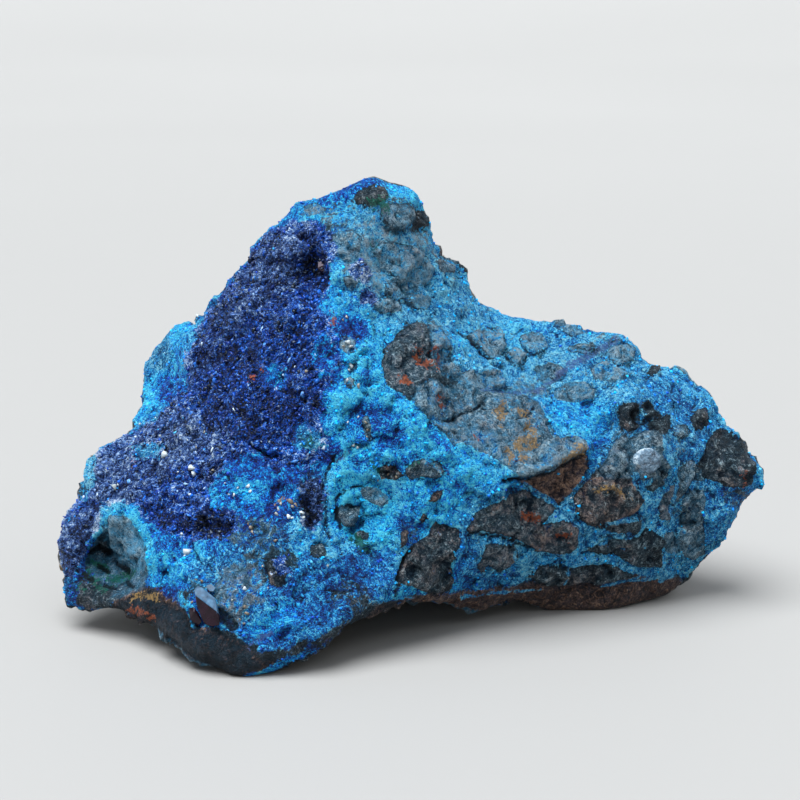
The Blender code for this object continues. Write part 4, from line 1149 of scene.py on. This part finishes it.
def rock_finish():
    f = Finish("azurite_rock")
    fine = f.noise(0.34, 2.0, 0.6)
    grain = f.noise(0.85, 4.0, 0.68, 0.5)
    patch = f.noise(2.4, 4.0, 0.62, 0.8)
    broad = f.noise(7.0, 2.0, 0.5)
    # Curly fibres: three warped noises, the light strands along one and the dark creases along another.
    kink, curl, fibre = f.noise(0.7, 1.0, 0.5, 3.0), f.noise(0.9, 2.0, 0.7, 5.0), f.noise(2.0, 4.0, 0.75, 3.0)
    strands = f.step(f.sum("ABSOLUTE", curl), 0.0, 0.13, 1.0, 0.0)
    creases = f.step(f.sum("ABSOLUTE", fibre), 0.0, 0.085, 1.0, 0.0)
    crest, broad_crest = f.field("crest"), f.field("broad_crest")
    depth = f.field("blue_depth")

    # The stone, from slate-grey through earthy to brown, with pale flecks and a dust of blue.
    # The crest terms make the stone lighter on crests and darker in hollow places: painted light and shade.
    stone_tone = f.add(f.field("stone_tone"), 0.12, (fine, 0.10), (grain, 0.24), (patch, 0.28), (crest, 0.15),
                       (broad_crest, 0.08))
    inside = f.step(f.field("fragment"), 0.0, 0.55, -0.16, 0.0)
    flecks = f.step(f.noise(0.36, 1.0, 0.5), 0.26, 0.48, 0.0, 0.26)
    stone_tone = f.add(stone_tone, inside, (flecks, f.step(f.field("fragment"), -0.1, 0.1, 0.0, 1.0)))
    stone_tone = f.add(stone_tone, (fibre, 0.65), (curl, 0.55), (kink, 0.36), (strands, 0.30),
                       (creases, -0.36), 0.02)
    earthy = f.add(f.noise(3.3, 3.0, 0.6, 0.5), (grain, 0.3), (f.field("brownness"), 0.5), -0.1)
    stone = f.cover(f.step(earthy, -0.15, 0.45, 0.0, 0.75), f.ramp(stone_tone, STONE_TONES),
                    f.ramp(stone_tone, EARTH_TONES))
    brown = f.step(f.add(f.field("brownness"), (patch, 0.65), (grain, 0.35)), 0.22, 0.80, 0.0, 0.95)
    stone = f.cover(brown, stone, f.ramp(f.add(stone_tone, 0.24), BROWN_TONES))
    dusting = f.step(f.add(grain, (patch, 0.8), (crest, -0.2)), -0.55, 0.45, 0.25, 1.55)
    dusting = f.sum("MULTIPLY", f.field("dust"), f.add(dusting, (strands, 0.8)))
    stone = f.cover(dusting, stone, BLUE_DUST)

    # The blue crust, clear or greyed, with dark murky spots, random in part and gathered in hollow places as
    # painted shade.
    # The crest terms make the blue paler on crests and deeper in hollow places: painted light and shade.
    blue_tone = f.add(depth, (grain, 0.12), (patch, 0.30), (crest, -0.12), (broad_crest, -0.08),
                      (fibre, -0.90), (curl, -0.75), (kink, -0.46), (strands, -0.34), (creases, 0.30), 0.05)
    blue = f.cover(f.field("dusty"), f.ramp(blue_tone, BLUE_TONES), f.ramp(blue_tone, DUSTY_TONES))
    # Murk: random dark spots, weighted towards hollow places as painted shade.
    murk_and_shade = f.add(f.noise(0.70, 3.0, 0.65, 0.8), (patch, 0.45), (crest, -0.22), (broad_crest, -0.14))
    murk_and_shade = f.sum("MULTIPLY", f.step(murk_and_shade, 0.14, 0.48), f.add(-0.02, (depth, 1.3)))
    blue = f.cover(murk_and_shade, blue, f.ramp(depth, MURK_AND_SHADE_TONES))

    # Where the crust lies, with painted shade in its hollow places and a broken dark line round the
    # fragments.
    in_fragment = f.step(f.add(f.field("fragment"), (grain, 0.40), (patch, 0.26)), -0.05, 0.07)
    share = f.mix(in_fragment, f.field("blue_share"), f.field("fragment_blue"))
    blue_here = f.add(share, (fine, 0.26), (grain, 0.50), (patch, 0.50), (broad, 0.15), (crest, -0.10))
    in_vein = f.step(f.add(f.field("vein"), (grain, 0.34), (patch, 0.24)), -0.08, 0.10)
    blue_here = f.sum("MAXIMUM", f.step(blue_here, 0.32, 0.58), f.sum("MULTIPLY", in_vein, 0.90))
    colour = f.cover(blue_here, stone, blue)
    # Near-black navy where the rock dips below its surroundings: painted shade.
    hollow_shade = f.step(f.add(crest, (curl, 0.7), (grain, 0.4), (broad_crest, 0.3)), -1.05, -0.40, 0.60, 0.0)
    colour = f.cover(hollow_shade, colour, HOLLOW_SHADE_COLOUR)
    # The dark line round the fragments is partly a dark joint and partly painted shade of the crack beside
    # each fragment's edge.
    edge = f.sum("ABSOLUTE", f.add(f.field("fragment"), (grain, 0.40), (patch, 0.26), -0.04))
    broken = f.step(f.add(patch, (broad, 0.6)), -0.25, 0.25)
    outline = f.sum("MULTIPLY", f.step(edge, 0.02, 0.16, 0.85, 0.0), broken)
    colour = f.cover(outline, colour, JOINT_AND_SHADE_BLACK)

    # The druse between its standing blades: small flat flakes, lighter on crests as painted highlight and
    # darkest in the pit as painted shade.
    flake_tone = f.node("SeparateColor", {"Color": f.cells(0.62)}).outputs["Red"]
    druse_tone = f.add((f.sum("POWER", flake_tone, 2.0), 0.18), (f.sum("SUBTRACT", 1.0, depth), 0.62),
                       (patch, 0.42), (broad, 0.22), (grain, 0.14), (crest, 0.12), (broad_crest, 0.12),
                       (fibre, 0.62), (curl, 0.62), (kink, 0.52), (strands, 0.32), (creases, -0.24), 0.05)
    pit_shade = f.step(f.add(f.field("pit"), (patch, 1.4)), -0.3, 0.9, 0.0, 0.20)
    druse_tone = f.sum("SUBTRACT", druse_tone, pit_shade)
    haze = f.step(f.add(f.field("dusty"), (patch, 0.5), (broad, 0.5)), 0.05, 0.80, 0.0, 0.9)
    crystals = f.cover(haze, f.ramp(druse_tone, DRUSE_TONES), f.ramp(druse_tone, SLATE_TONES))
    in_druse = f.step(f.add(f.field("druse"), (grain, 0.9), (patch, 1.1)), -0.16, 0.16)
    colour = f.cover(in_druse, colour, crystals)

    for name, dark, light, amount, rag in STAINS:
        share = f.add(f.field(name), (grain, rag), (fine, 0.7 * rag), -0.12 * rag)
        paint = f.ramp(f.add(0.5, (fine, 0.5), (grain, 0.4)), ((0.15, dark), (0.85, light)))
        colour = f.cover(f.step(share, -0.10, 0.14, 0.0, amount), colour, paint)
    cracked = f.step(f.add(f.field("dark_crack"), (grain, 0.35)), -0.12, 0.08, 0.0, 0.85)
    colour = f.cover(cracked, colour, CRACK_BLACK)

    dull = f.mix(blue_here, f.add(0.42, (grain, 0.25)), f.add(0.68, (fine, 0.2)))
    dull = f.mix(in_druse, dull, f.add(0.22, (flake_tone, 0.25)))
    height = f.add((fibre, 1.40), (curl, 0.90), (kink, 0.52), (strands, 0.24), (creases, -0.36),
                   (grain, 0.30), (f.step(blue_here, 0.0, 1.0), 0.12))
    return f.dress(colour, dull, height, 0.30, f.mix(in_druse, 1.0, 0.7), mirror=1.33,
                   sheen=(0.75, 0.88, 1.0))


def add_piece(name, mesh):
    """Stands a mesh in the scene as a visible piece of the lump."""
    piece = put_out(name, mesh)
    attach(piece, "root")
    return piece


rock.materials.append(rock_finish())
specimen = add_piece("host_rock", rock)
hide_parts("azurite_specimen")


# ---------------------------------------------------------------------------------------------
# The small crystals. Thousands of navy azurite blades stand on the druse, and finer blue grains
# powder the crust. Each lot is one mesh, made from a single blade repeated with its own turn.

DRUSE_BLADES = 5500
BLUE_GRAINS, DUSTY_GRAINS, CREST_GLINT_GRAINS = 1400, 700, 200

rock.calc_loop_triangles()
triangles = numbers_of(rock.loop_triangles, "vertices", 3, np.int32)
triangle_points = moved[triangles]
spans = np.cross(triangle_points[:, 1] - triangle_points[:, 0], triangle_points[:, 2] - triangle_points[:, 0])
triangle_areas = np.linalg.norm(spans, axis=1) / 2
triangle_facings = even_facings[triangles].mean(axis=1)
triangle_facings /= np.linalg.norm(triangle_facings, axis=1)[:, None]


def as_arrays(shape):
    """The corners and the triangles of a shape in the making, as arrays."""
    shape.verts.index_update()
    corners = np.array([corner.co for corner in shape.verts])
    faces = np.array([[corner.index for corner in face.verts] for face in shape.faces])
    shape.free()
    return corners, faces


def blade(sides, tip, lean):
    """One crystal of unit length: a short prism that narrows to a chisel tip and leans over."""
    shape = bmesh.new()
    bmesh.ops.create_cone(shape, cap_ends=True, segments=sides, radius1=0.5, radius2=0.5 * tip, depth=1.0)
    tips = [corner for corner in shape.verts if corner.co.z > 0]
    bmesh.ops.scale(shape, vec=(0.55, 1.0, 1.0), verts=tips)
    bmesh.ops.translate(shape, vec=(lean, 0.0, 0.0), verts=tips)
    bmesh.ops.translate(shape, vec=(0.0, 0.0, 0.2), verts=shape.verts)
    bmesh.ops.triangulate(shape, faces=shape.faces)
    return as_arrays(shape)


def scatter(density, count):
    """Random triangles of the rock, more of them where density is higher, and a random place on each."""
    weight = triangle_areas * np.maximum(density[triangles].mean(axis=1), 0)
    share = np.cumsum(weight)
    chosen = np.searchsorted(share, chance.random(count) * share[-1])
    a, b = chance.random((2, count))
    fold = a + b > 1
    a, b = np.where(fold, 1 - a, a), np.where(fold, 1 - b, b)
    p = triangle_points[chosen]
    places = p[:, 0] + a[:, None] * (p[:, 1] - p[:, 0]) + b[:, None] * (p[:, 2] - p[:, 0])
    return chosen, places


def turned(facings, spread):
    """Turns for blades that stand along their facing, leaning by a random spread."""
    up = facings + chance.normal(0, spread, facings.shape)
    up /= np.linalg.norm(up, axis=1)[:, None]
    side = chance.normal(0, 1, facings.shape)
    side -= (side * up).sum(1)[:, None] * up
    side /= np.linalg.norm(side, axis=1)[:, None]
    return np.stack((side, np.cross(up, side), up), axis=2)


def crowd(name, shape, places, turns, sizes, tones, material):
    """One piece made of many turned and sized copies of a shape, each copy with its own tone."""
    corners, faces = shape
    points = np.einsum("nij,nkj->nki", turns, corners[None] * sizes[:, None, :]) + places[:, None, :]
    links = (faces[None] + (np.arange(len(places)) * len(corners))[:, None, None]).reshape(-1, 3)
    mesh = bpy.data.meshes.new(name)
    mesh.vertices.add(points.shape[0] * points.shape[1])
    mesh.vertices.foreach_set("co", points.astype(np.float32).ravel())
    mesh.loops.add(links.size)
    mesh.loops.foreach_set("vertex_index", links.astype(np.int32).ravel())
    mesh.polygons.add(len(links))
    mesh.polygons.foreach_set("loop_start", np.arange(0, links.size, 3, dtype=np.int32))
    add_layer(mesh, "tone", np.repeat(tones, len(corners)))
    mesh.update(calc_edges=True)
    mesh.materials.append(material)
    add_piece(name, mesh)


def crystal_finish(name, tones, roughness):
    f = Finish(name)
    fine = f.noise(0.25, 2.0, 0.6)
    colour = f.ramp(f.add(f.field("tone"), (fine, 0.15)), tones)
    return f.dress(colour, f.add(roughness, (fine, 0.15)), fine, 0.03, 0.5, mirror=1.48,
                   sheen=(0.60, 0.78, 1.0))


def stand_druse():
    """The blades of the druse, clear navy or hazed with slate-blue."""
    chosen, places = scatter(druse_density, DRUSE_BLADES)
    on = triangles[chosen, 0]
    length = MM * (0.26 + 0.56 * chance.random(DRUSE_BLADES) ** 2.5)
    sizes = np.column_stack((length * (0.35 + 0.4 * chance.random(DRUSE_BLADES)),
                             length * (0.8 + 0.7 * chance.random(DRUSE_BLADES)), length))
    # The crest term lightens blades on crests and one blade in ten is made much paler: painted highlights and
    # glints. The pit term darkens blades in the pit: painted shade.
    tones = (0.19 + 0.42 * (1 - depth_of_blue[on]) + 0.24 * waves(places, 2.6 * MM, 33) + 0.14 * crest[on]
             + 0.15 * chance.normal(0, 1, DRUSE_BLADES) + 0.26 * (chance.random(DRUSE_BLADES) > 0.90))
    tones = np.clip(tones - 0.20 * ease(-0.3, 0.5, pit)[on], 0, 1)
    rooted = places - 0.16 * length[:, None] * triangle_facings[chosen]
    stance = turned(triangle_facings[chosen], 0.9)
    hazy = dusty[on] + 0.25 * chance.normal(0, 1, DRUSE_BLADES) > 0.40
    for name, lot, finish in (("navy_druse", ~hazy, crystal_finish("navy_crystal", DRUSE_TONES, 0.24)),
                              ("slate_druse", hazy, crystal_finish("slate_blade", SLATE_TONES, 0.34))):
        crowd(name, blade(5, 0.60, 0.10), rooted[lot], stance[lot], sizes[lot], tones[lot], finish)


def powder(name, count, density, small, large, paler, finish):
    """Low grains bedded in the crust, from small to large mm, coloured like the crust or paler."""
    chosen, places = scatter(density, count)
    length = MM * (small + (large - small) * chance.random(count) ** 2)
    sizes = np.column_stack((length * (0.7 + 0.6 * chance.random(count)),
                             length * (0.7 + 0.6 * chance.random(count)), 0.6 * length))
    tones = depth_of_blue[triangles[chosen, 0]] + 0.14 * chance.normal(0, 1, count) - paler
    crowd(name, blade(4, 0.6, 0.12), places, turned(triangle_facings[chosen], 0.5), sizes,
          np.clip(tones, 0.2, 1), finish)


clear_of_floor = ease(0.8, 2.0, moved[:, 2] / MM)
druse_density = ease(-0.2, 0.5, druse) * (1 - 0.97 * stone) * (1 - 0.85 * velvet) * clear_of_floor
grain_density = (ease(0.4, 0.9, share_of_blue) * (1 - 0.98 * stone) * (1 - 0.9 * ease(-0.2, 0.4, druse))
                 * clear_of_floor * ease(-0.8, 0.6, crest))
stand_druse()
powder("blue_grains", BLUE_GRAINS, grain_density * (1 - 0.6 * dusty), 0.25, 0.60, 0.0,
       crystal_finish("blue_grain", BLUE_TONES, 0.62))
powder("dusty_grains", DUSTY_GRAINS, grain_density * dusty, 0.25, 0.60, 0.0,
       crystal_finish("dusty_grain", DUSTY_TONES, 0.65))
# Grains on the crests, a little paler than the crust: real grains with a painted highlight.
powder("crest_glint_grains", CREST_GLINT_GRAINS, grain_density * ease(-0.3, 0.7, crest), 0.20, 0.40, 0.08,
       crystal_finish("crest_glint_grain", BLUE_TONES, 0.60))


# ---------------------------------------------------------------------------------------------
# The odd crystals. One glassy maroon-black crystal with a painted reflection on its upper faces sits low on
# the left, a round grey one near the right end, and pale grains of quartz and clay are caught in the crust.

# (name, the card square it sits at, the line above which its faces towards the eye carry a painted
# reflection, its corners),
# with each corner as (across, down, mm towards the eye)
GLASSY = (
    ("glassy_crystal", (206, 604), ((194.5, 595), (218, 612.5)), (
        (197.6, 585.8, -0.6), (202, 587.3, -0.3), (208.6, 592.4, 0.3), (214.7, 597.6, 1.0),
        (216.5, 601.6, 1.4), (217, 605.7, 1.8), (217.8, 612, 2.9), (212.7, 605.7, 2.1), (207, 600.6, 1.5),
        (201.4, 597, 0.95), (195.3, 595, 0.5), (194, 590.4, 0.0), (196.8, 605.7, 0.7), (200, 613.4, 1.0),
        (203, 621.5, 1.5), (206.5, 625, 1.8), (212.7, 626.6, 2.2), (219.8, 625, 2.7), (220, 616, 2.6),
        (200, 592, -3.0), (216, 606, -2.0), (206, 622, -2.5))),
    ("glassy_crystal_small", (211, 588), ((205, 589), (216, 593)), (
        (206.3, 585.8, 0.5), (208.6, 584.3, 0.4), (211.6, 584, 0.4), (215.7, 587.6, 0.85),
        (213.2, 591.4, 1.2), (210.6, 591.4, 1.1), (206.5, 587.9, 0.7), (208, 592.5, 0.9), (214, 592.5, 1.0),
        (211, 588, -2.0))),
    ("glassy_crystal_left", (195, 616), None, (
        (189, 608, 0.3), (194, 607, 0.6), (199, 614, 0.8), (202, 622, 0.9), (197, 627, 0.2), (190, 619, 0.2),
        (194, 612, 1.0), (195, 617, -2.0))),
    ("glassy_crystal_upper", (321, 266), None, (
        (318, 262, 0.4), (323, 260.5, 0.3), (327.5, 264, 0.5), (327, 270, 0.8), (322, 271.5, 0.9),
        (317.5, 268, 0.8), (322, 276, 0.1), (322, 266, -2.0))),
)
SEAT_DEPTH = 1.5 * MM  # rock this close behind the nearest also counts
WORN_EDGE = 0.05 * MM
FLAT_ENOUGH = math.radians(4)  # faces that turn less than this become one

front_card = card_places(moved)
front_reach = (moved - EYE) @ LINE_OF_SIGHT


def seat(spot, nearby=3.0):
    """The distance from the eye to the rock behind a card square, and the way the rock faces there."""
    near = np.flatnonzero((np.abs(front_card - spot) < nearby).all(1) & (even_facings @ LINE_OF_SIGHT < 0.3))
    if not len(near):
        return seat(spot, 2 * nearby)
    first = near[front_reach[near] < front_reach[near].min() + SEAT_DEPTH]
    facing = even_facings[first].mean(0)
    return front_reach[first].mean(), facing / np.linalg.norm(facing)


def behind_card(spot, reach):
    """The place behind a card square at a distance along the line of sight."""
    across = (spot[0] - CARD_MIDDLE) * CARD_SQUARE / CARD_DISTANCE
    up = (CARD_MIDDLE - spot[1]) * CARD_SQUARE / CARD_DISTANCE
    return EYE + reach * (LINE_OF_SIGHT + across * np.array((1.0, 0.0, 0.0)) + up * CARD_UP)


def glassy_crystal(name, seated_at, reflection_line, corners):
    """A crystal with flat faces: the hull round its corners, with its edges a little worn."""
    reach = seat(seated_at)[0]
    shape = bmesh.new()
    for across, down, out in corners:
        shape.verts.new(behind_card((across, down), reach - out * MM))
    bmesh.ops.convex_hull(shape, input=shape.verts)
    bmesh.ops.dissolve_limit(shape, angle_limit=FLAT_ENOUGH, verts=shape.verts, edges=shape.edges)
    bmesh.ops.bevel(shape, geom=shape.edges[:], offset=WORN_EDGE, segments=1, profile=0.5, affect="EDGES",
                    material=-1)
    bmesh.ops.recalc_face_normals(shape, faces=shape.faces)
    mesh = as_mesh(shape, name)
    mesh.materials.append(glassy_material)
    # Faces above the line that face the eye take the pale finish: a painted reflection.
    if reflection_line:
        mesh.materials.append(reflection_face_material)
        start, end = np.array(reflection_line, float)
        for face in mesh.polygons:
            off = card_places(np.array([face.center]))[0] - start
            above = (end - start)[0] * off[1] - (end - start)[1] * off[0] < 0
            face.material_index = int(above and Vector(LINE_OF_SIGHT).dot(face.normal) < 0)
    add_piece(name, mesh)


def glassy_finish():
    f = Finish("glassy_maroon")
    colour = f.ramp(f.add(0.5, f.noise(1.5, 2.0, 0.5)), ((0.1, "#0a0507"), (0.9, "#20101a")))
    return f.dress(colour, f.add(0.06, (f.noise(0.8, 2.0, 0.5), 0.04)), f.noise(2.2, 1.0, 0.4), 0.02, 0.4,
                   mirror=1.36, sheen=(0.80, 0.70, 0.85))


# The pale face finish: a painted reflection of the light on the crystal's upper faces.
def reflection_face_finish():
    f = Finish("painted_reflection_face")
    cloud = f.noise(1.1, 3.0, 0.6, 0.5)
    colour = f.ramp(f.add(0.5, cloud), ((0.0, "#20384c"), (0.6, "#2f506c"), (1.0, "#446a86")))
    return f.dress(colour, f.add(0.34, (cloud, 0.2)), cloud, 0.02, 0.4, mirror=1.25)


glassy_material, reflection_face_material = glassy_finish(), reflection_face_finish()
for name, seated_at, reflection_line, corners in GLASSY:
    glassy_crystal(name, seated_at, reflection_line, corners)

# (across, down, size in mm, tone from white 0 through tan 0.5 to brown 1)
PALE_GRAINS = (
    (166, 455, 1.1, 0.05), (170, 458, 0.5, 0.1), (192, 469, 1.3, 0.02), (194, 474, 0.9, 0.02),
    (178, 472, 0.4, 0.05), (171, 472, 0.35, 0.1), (114, 487, 0.9, 0.15), (118, 485, 0.4, 0.1),
    (249, 486, 0.8, 0.02), (250, 491, 0.55, 0.02), (234, 495, 0.5, 0.02), (229, 494, 0.35, 0.05),
    (190, 495, 0.5, 0.02), (225, 483, 0.4, 0.02), (182, 534, 0.5, 0.1), (188, 551, 1.0, 0.08),
    (185, 556, 0.5, 0.1), (245, 589, 0.6, 0.03), (245, 607, 0.6, 0.45), (247, 613, 0.6, 0.40),
    (240, 619, 0.6, 0.38), (244, 623, 0.5, 0.35), (202, 581, 0.6, 0.45), (196, 580, 0.4, 0.4),
    (192, 602, 0.4, 0.35), (281, 504, 0.7, 0.22), (279, 509, 0.7, 0.18), (277, 514, 0.6, 0.20),
    (290, 502, 0.9, 0.42), (295, 505, 0.7, 0.40), (292, 507, 0.6, 0.30), (302, 513, 0.8, 0.05),
    (303, 517, 0.5, 0.1), (288, 517, 0.6, 0.02), (292, 518, 0.4, 0.05), (251, 528, 0.7, 0.40),
    (253, 533, 0.6, 0.36), (248, 524, 0.4, 0.5), (276, 541, 0.75, 0.48), (306, 372, 0.55, 0.35),
    (308, 376, 0.35, 0.5), (348, 342, 0.9, 0.12), (351, 347, 0.7, 0.16), (344, 346, 0.5, 0.3),
    (351, 366, 0.7, 0.10), (349, 370, 0.45, 0.15), (347, 380, 0.6, 0.10), (358, 386, 0.8, 0.32),
    (346, 317, 0.6, 0.28), (343, 320, 0.4, 0.3), (353, 445, 0.6, 0.15), (358, 447, 0.5, 0.12),
    (366, 422, 0.5, 0.35), (368, 430, 0.5, 0.4), (367, 437, 0.45, 0.45), (358, 417, 0.3, 0.0),
    (348, 422, 0.3, 0.0), (397, 477, 0.5, 0.40), (388, 474, 0.5, 0.55), (378, 480, 0.4, 0.5),
    (133, 467, 0.4, 0.70), (238, 488, 0.3, 0.1), (213, 470, 0.45, 0.35), (196, 447, 0.4, 0.3),
    (222, 440, 0.35, 0.2), (188, 440, 0.35, 0.15), (152, 437, 0.4, 0.2), (160, 436, 0.35, 0.2),
    (205, 432, 0.4, 0.3), (226, 427, 0.3, 0.2), (571, 498, 0.4, 0.05), (576, 504, 0.35, 0.1),
    (503, 497, 0.35, 0.1), (548, 322, 0.4, 0.1), (199, 618, 0.5, 0.02), (218, 621, 0.55, 0.02),
    (276, 572, 0.4, 0.2), (262, 566, 0.35, 0.3), (328, 566, 0.4, 0.2), (268, 588, 0.4, 0.15),
    (232, 600, 0.4, 0.1), (236, 590, 0.35, 0.1), (226, 606, 0.35, 0.2), (254, 598, 0.3, 0.1),
    (140, 424, 0.4, 0.1), (106, 470, 0.35, 0.2),
)
PALE_TONES = ((0.0, "#c4d0d6"), (0.15, "#9aa6aa"), (0.35, "#7c766a"), (0.55, "#5e5143"), (1.0, "#382518"))
WILD_GRAINS = 110  # on the sides that the survey misses
PALE_LOTS = 3  # pieces that the pale grains are dealt into


def chip():
    """An angular chip: the hull round a few corners thrown about the middle."""
    shape = bmesh.new()
    for corner in chance.normal(0, 1, (11, 3)):
        shape.verts.new(0.5 * corner / np.linalg.norm(corner) * (0.8 + 0.3 * chance.random()))
    bmesh.ops.convex_hull(shape, input=shape.verts)
    bmesh.ops.triangulate(shape, faces=shape.faces)
    bmesh.ops.recalc_face_normals(shape, faces=shape.faces)
    return as_arrays(shape)


def pale_finish():
    f = Finish("pale_grain")
    fine = f.noise(0.3, 2.0, 0.6)
    colour = f.ramp(f.add(f.field("tone"), (fine, 0.10)), PALE_TONES)
    return f.dress(colour, f.add(0.35, (fine, 0.2)), fine, 0.05, 0.5)


grain_places, grain_facings = [], []
for across, down, size, tone in PALE_GRAINS:
    reach, facing = seat((across, down))
    grain_places.append(behind_card((across, down), reach) + 0.04 * size * MM * facing)
    grain_facings.append(facing)
chosen, places = scatter((surveyed < 0.4) * clear_of_floor * (even_facings[:, 2] > -0.3), WILD_GRAINS)
grain_places = np.vstack((grain_places, places))
grain_facings = np.vstack((grain_facings, triangle_facings[chosen]))
sizes_seen, tones_seen = zip(*(grain[2:] for grain in PALE_GRAINS))
grain_sizes = np.concatenate((sizes_seen, 0.35 + 0.5 * chance.random(WILD_GRAINS) ** 2)) * MM
grain_tones = np.concatenate((tones_seen, 0.5 * chance.random(WILD_GRAINS) ** 2))
grain_shape = 1.15 * grain_sizes[:, None] * (0.65 + 0.6 * chance.random((len(grain_sizes), 3)))
grain_turns = turned(grain_facings, 0.8)
pale_material = pale_finish()
for number in range(PALE_LOTS):
    lot = slice(number, None, PALE_LOTS)
    crowd("pale_grains_%d" % (number + 1), chip(), grain_places[lot], grain_turns[lot], grain_shape[lot],
          grain_tones[lot], pale_material)

ROUND_CRYSTAL, ROUND_SQUARES = (647, 461), 14.0  # its card square and how many squares it reaches from it
ROUND_RADIUS = 2.1 * MM
ROUND_TONES = ((0.0, "#1c2833"), (0.4, "#466075"), (0.7, "#6a879d"), (1.0, "#b4c6d2"))


def round_finish():
    f = Finish("slate_crystal")
    fine, mottle = f.noise(0.30, 3.0, 0.6), f.noise(0.9, 3.0, 0.6)
    tone = f.add(0.42, (fine, 0.40), (mottle, 0.6), (f.field("rim"), 0.42))
    return f.dress(f.ramp(tone, ROUND_TONES), f.add(0.30, (fine, 0.2)), f.add(fine, mottle), 0.16, 0.9)


def round_crystal():
    """A low dome, turned half towards the eye, with a pale rim at its upper left."""
    reach, facing = seat(ROUND_CRYSTAL, 8.0)
    shape = bmesh.new()
    bmesh.ops.create_icosphere(shape, subdivisions=5, radius=1.0)
    bmesh.ops.scale(shape, vec=(1.0, 0.88, 0.40), verts=shape.verts)
    shape.verts.index_update()
    corners = np.array([corner.co for corner in shape.verts])
    rough = 0.07 * rough_waves(3 * corners, 1.8, 211, 3) + 0.04 * rough_waves(3 * corners, 0.5, 217, 2)
    for corner, push in zip(shape.verts, rough):
        corner.co *= 1 + push
    bmesh.ops.scale(shape, vec=(ROUND_RADIUS,) * 3, verts=shape.verts)
    tilt = Vector(facing - 0.9 * LINE_OF_SIGHT).to_track_quat("Z", "Y").to_matrix()
    bmesh.ops.rotate(shape, cent=(0, 0, 0), matrix=tilt, verts=shape.verts)
    bmesh.ops.translate(shape, vec=Vector(behind_card(ROUND_CRYSTAL, reach)), verts=shape.verts)
    mesh = as_mesh(shape, "round_crystal")
    off_middle = (card_places(numbers_of(mesh.vertices, "co", 3)) - ROUND_CRYSTAL) / ROUND_SQUARES
    towards_rim = ease(0.50, 0.85, np.linalg.norm(off_middle, axis=1))
    add_layer(mesh, "rim", towards_rim * ease(-0.1, 0.5, -off_middle @ np.array((0.80, 0.60))))
    mesh.materials.append(round_finish())
    add_piece("round_crystal", mesh)


round_crystal()


# ---------------------------------------------------------------------------------------------
# The table and the light. A plain pale floor that rises into a pale wall all round, with a broad
# soft lamp overhead, a weaker one before the lump, and the light of the open ceiling.

FLOOR_REACH, WALL_BEND, WALL_TOP = 1.5, 4.0, 4.2  # in metres
BEND_STEPS, FLOOR_TURNS = 12, 72


def floor_finish():
    f = Finish("pale_floor")
    cloud = f.noise(900.0, 2.0, 0.4)
    f.join(f.ramp(f.add(0.5, cloud), ((0.0, "#91908e"), (1.0, "#959492"))), f.shader.inputs["Base Color"])
    f.shader.inputs["Roughness"].default_value = 0.65
    return f.material


def floor_mesh():
    """A round floor whose edge bends up into a wall: one side view, spun right round."""
    shape = bmesh.new()
    profile = [(0.0, 0.0), (FLOOR_REACH, 0.0)]
    for step in range(1, BEND_STEPS + 1):
        turn = math.pi / 2 * step / BEND_STEPS
        profile.append((FLOOR_REACH + WALL_BEND * math.sin(turn), WALL_BEND * (1 - math.cos(turn))))
    profile.append((FLOOR_REACH + WALL_BEND, WALL_TOP))
    corners = [shape.verts.new((out, 0.0, up)) for out, up in profile]
    for start, end in zip(corners[:-1], corners[1:]):
        shape.edges.new((start, end))
    bmesh.ops.spin(shape, geom=shape.verts[:] + shape.edges[:], cent=(0, 0, 0), axis=(0, 0, 1),
                   dvec=(0, 0, 0), angle=2 * math.pi, steps=FLOOR_TURNS, use_merge=True)
    bmesh.ops.remove_doubles(shape, verts=shape.verts, dist=1e-5)
    for face in shape.faces:
        face.smooth = True
    mesh = as_mesh(shape, "floor")
    mesh.materials.append(floor_finish())
    return mesh


floor = put_out("floor", floor_mesh())


def far_lamp(name, towards, spread, power, colour):
    """A lamp so far off that it lights everything alike; spread is how broad it looks, in degrees."""
    lamp = bpy.data.lights.new(name, "SUN")
    lamp.angle = math.radians(spread)
    lamp.energy = power
    lamp.color = colour
    holder = bpy.data.objects.new(name, lamp)
    holder.rotation_euler = Vector(towards).to_track_quat("Z", "Y").to_euler()
    bpy.context.scene.collection.objects.link(holder)


far_lamp("ceiling_lamp", (-0.25, -0.12, 1.0), 50, 6.2, (0.96, 0.98, 1.0))
far_lamp("front_lamp", (0.45, -0.9, 0.75), 45, 0.6, (0.98, 0.99, 1.0))
world = bpy.data.worlds.new("room")
world.use_nodes = True
sky = world.node_tree.nodes["Background"]
sky.inputs["Color"].default_value = (0.82, 0.90, 1.0, 1.0)
sky.inputs["Strength"].default_value = 0.82
bpy.context.scene.world = world
bpy.context.scene.view_settings.view_transform = "Standard"
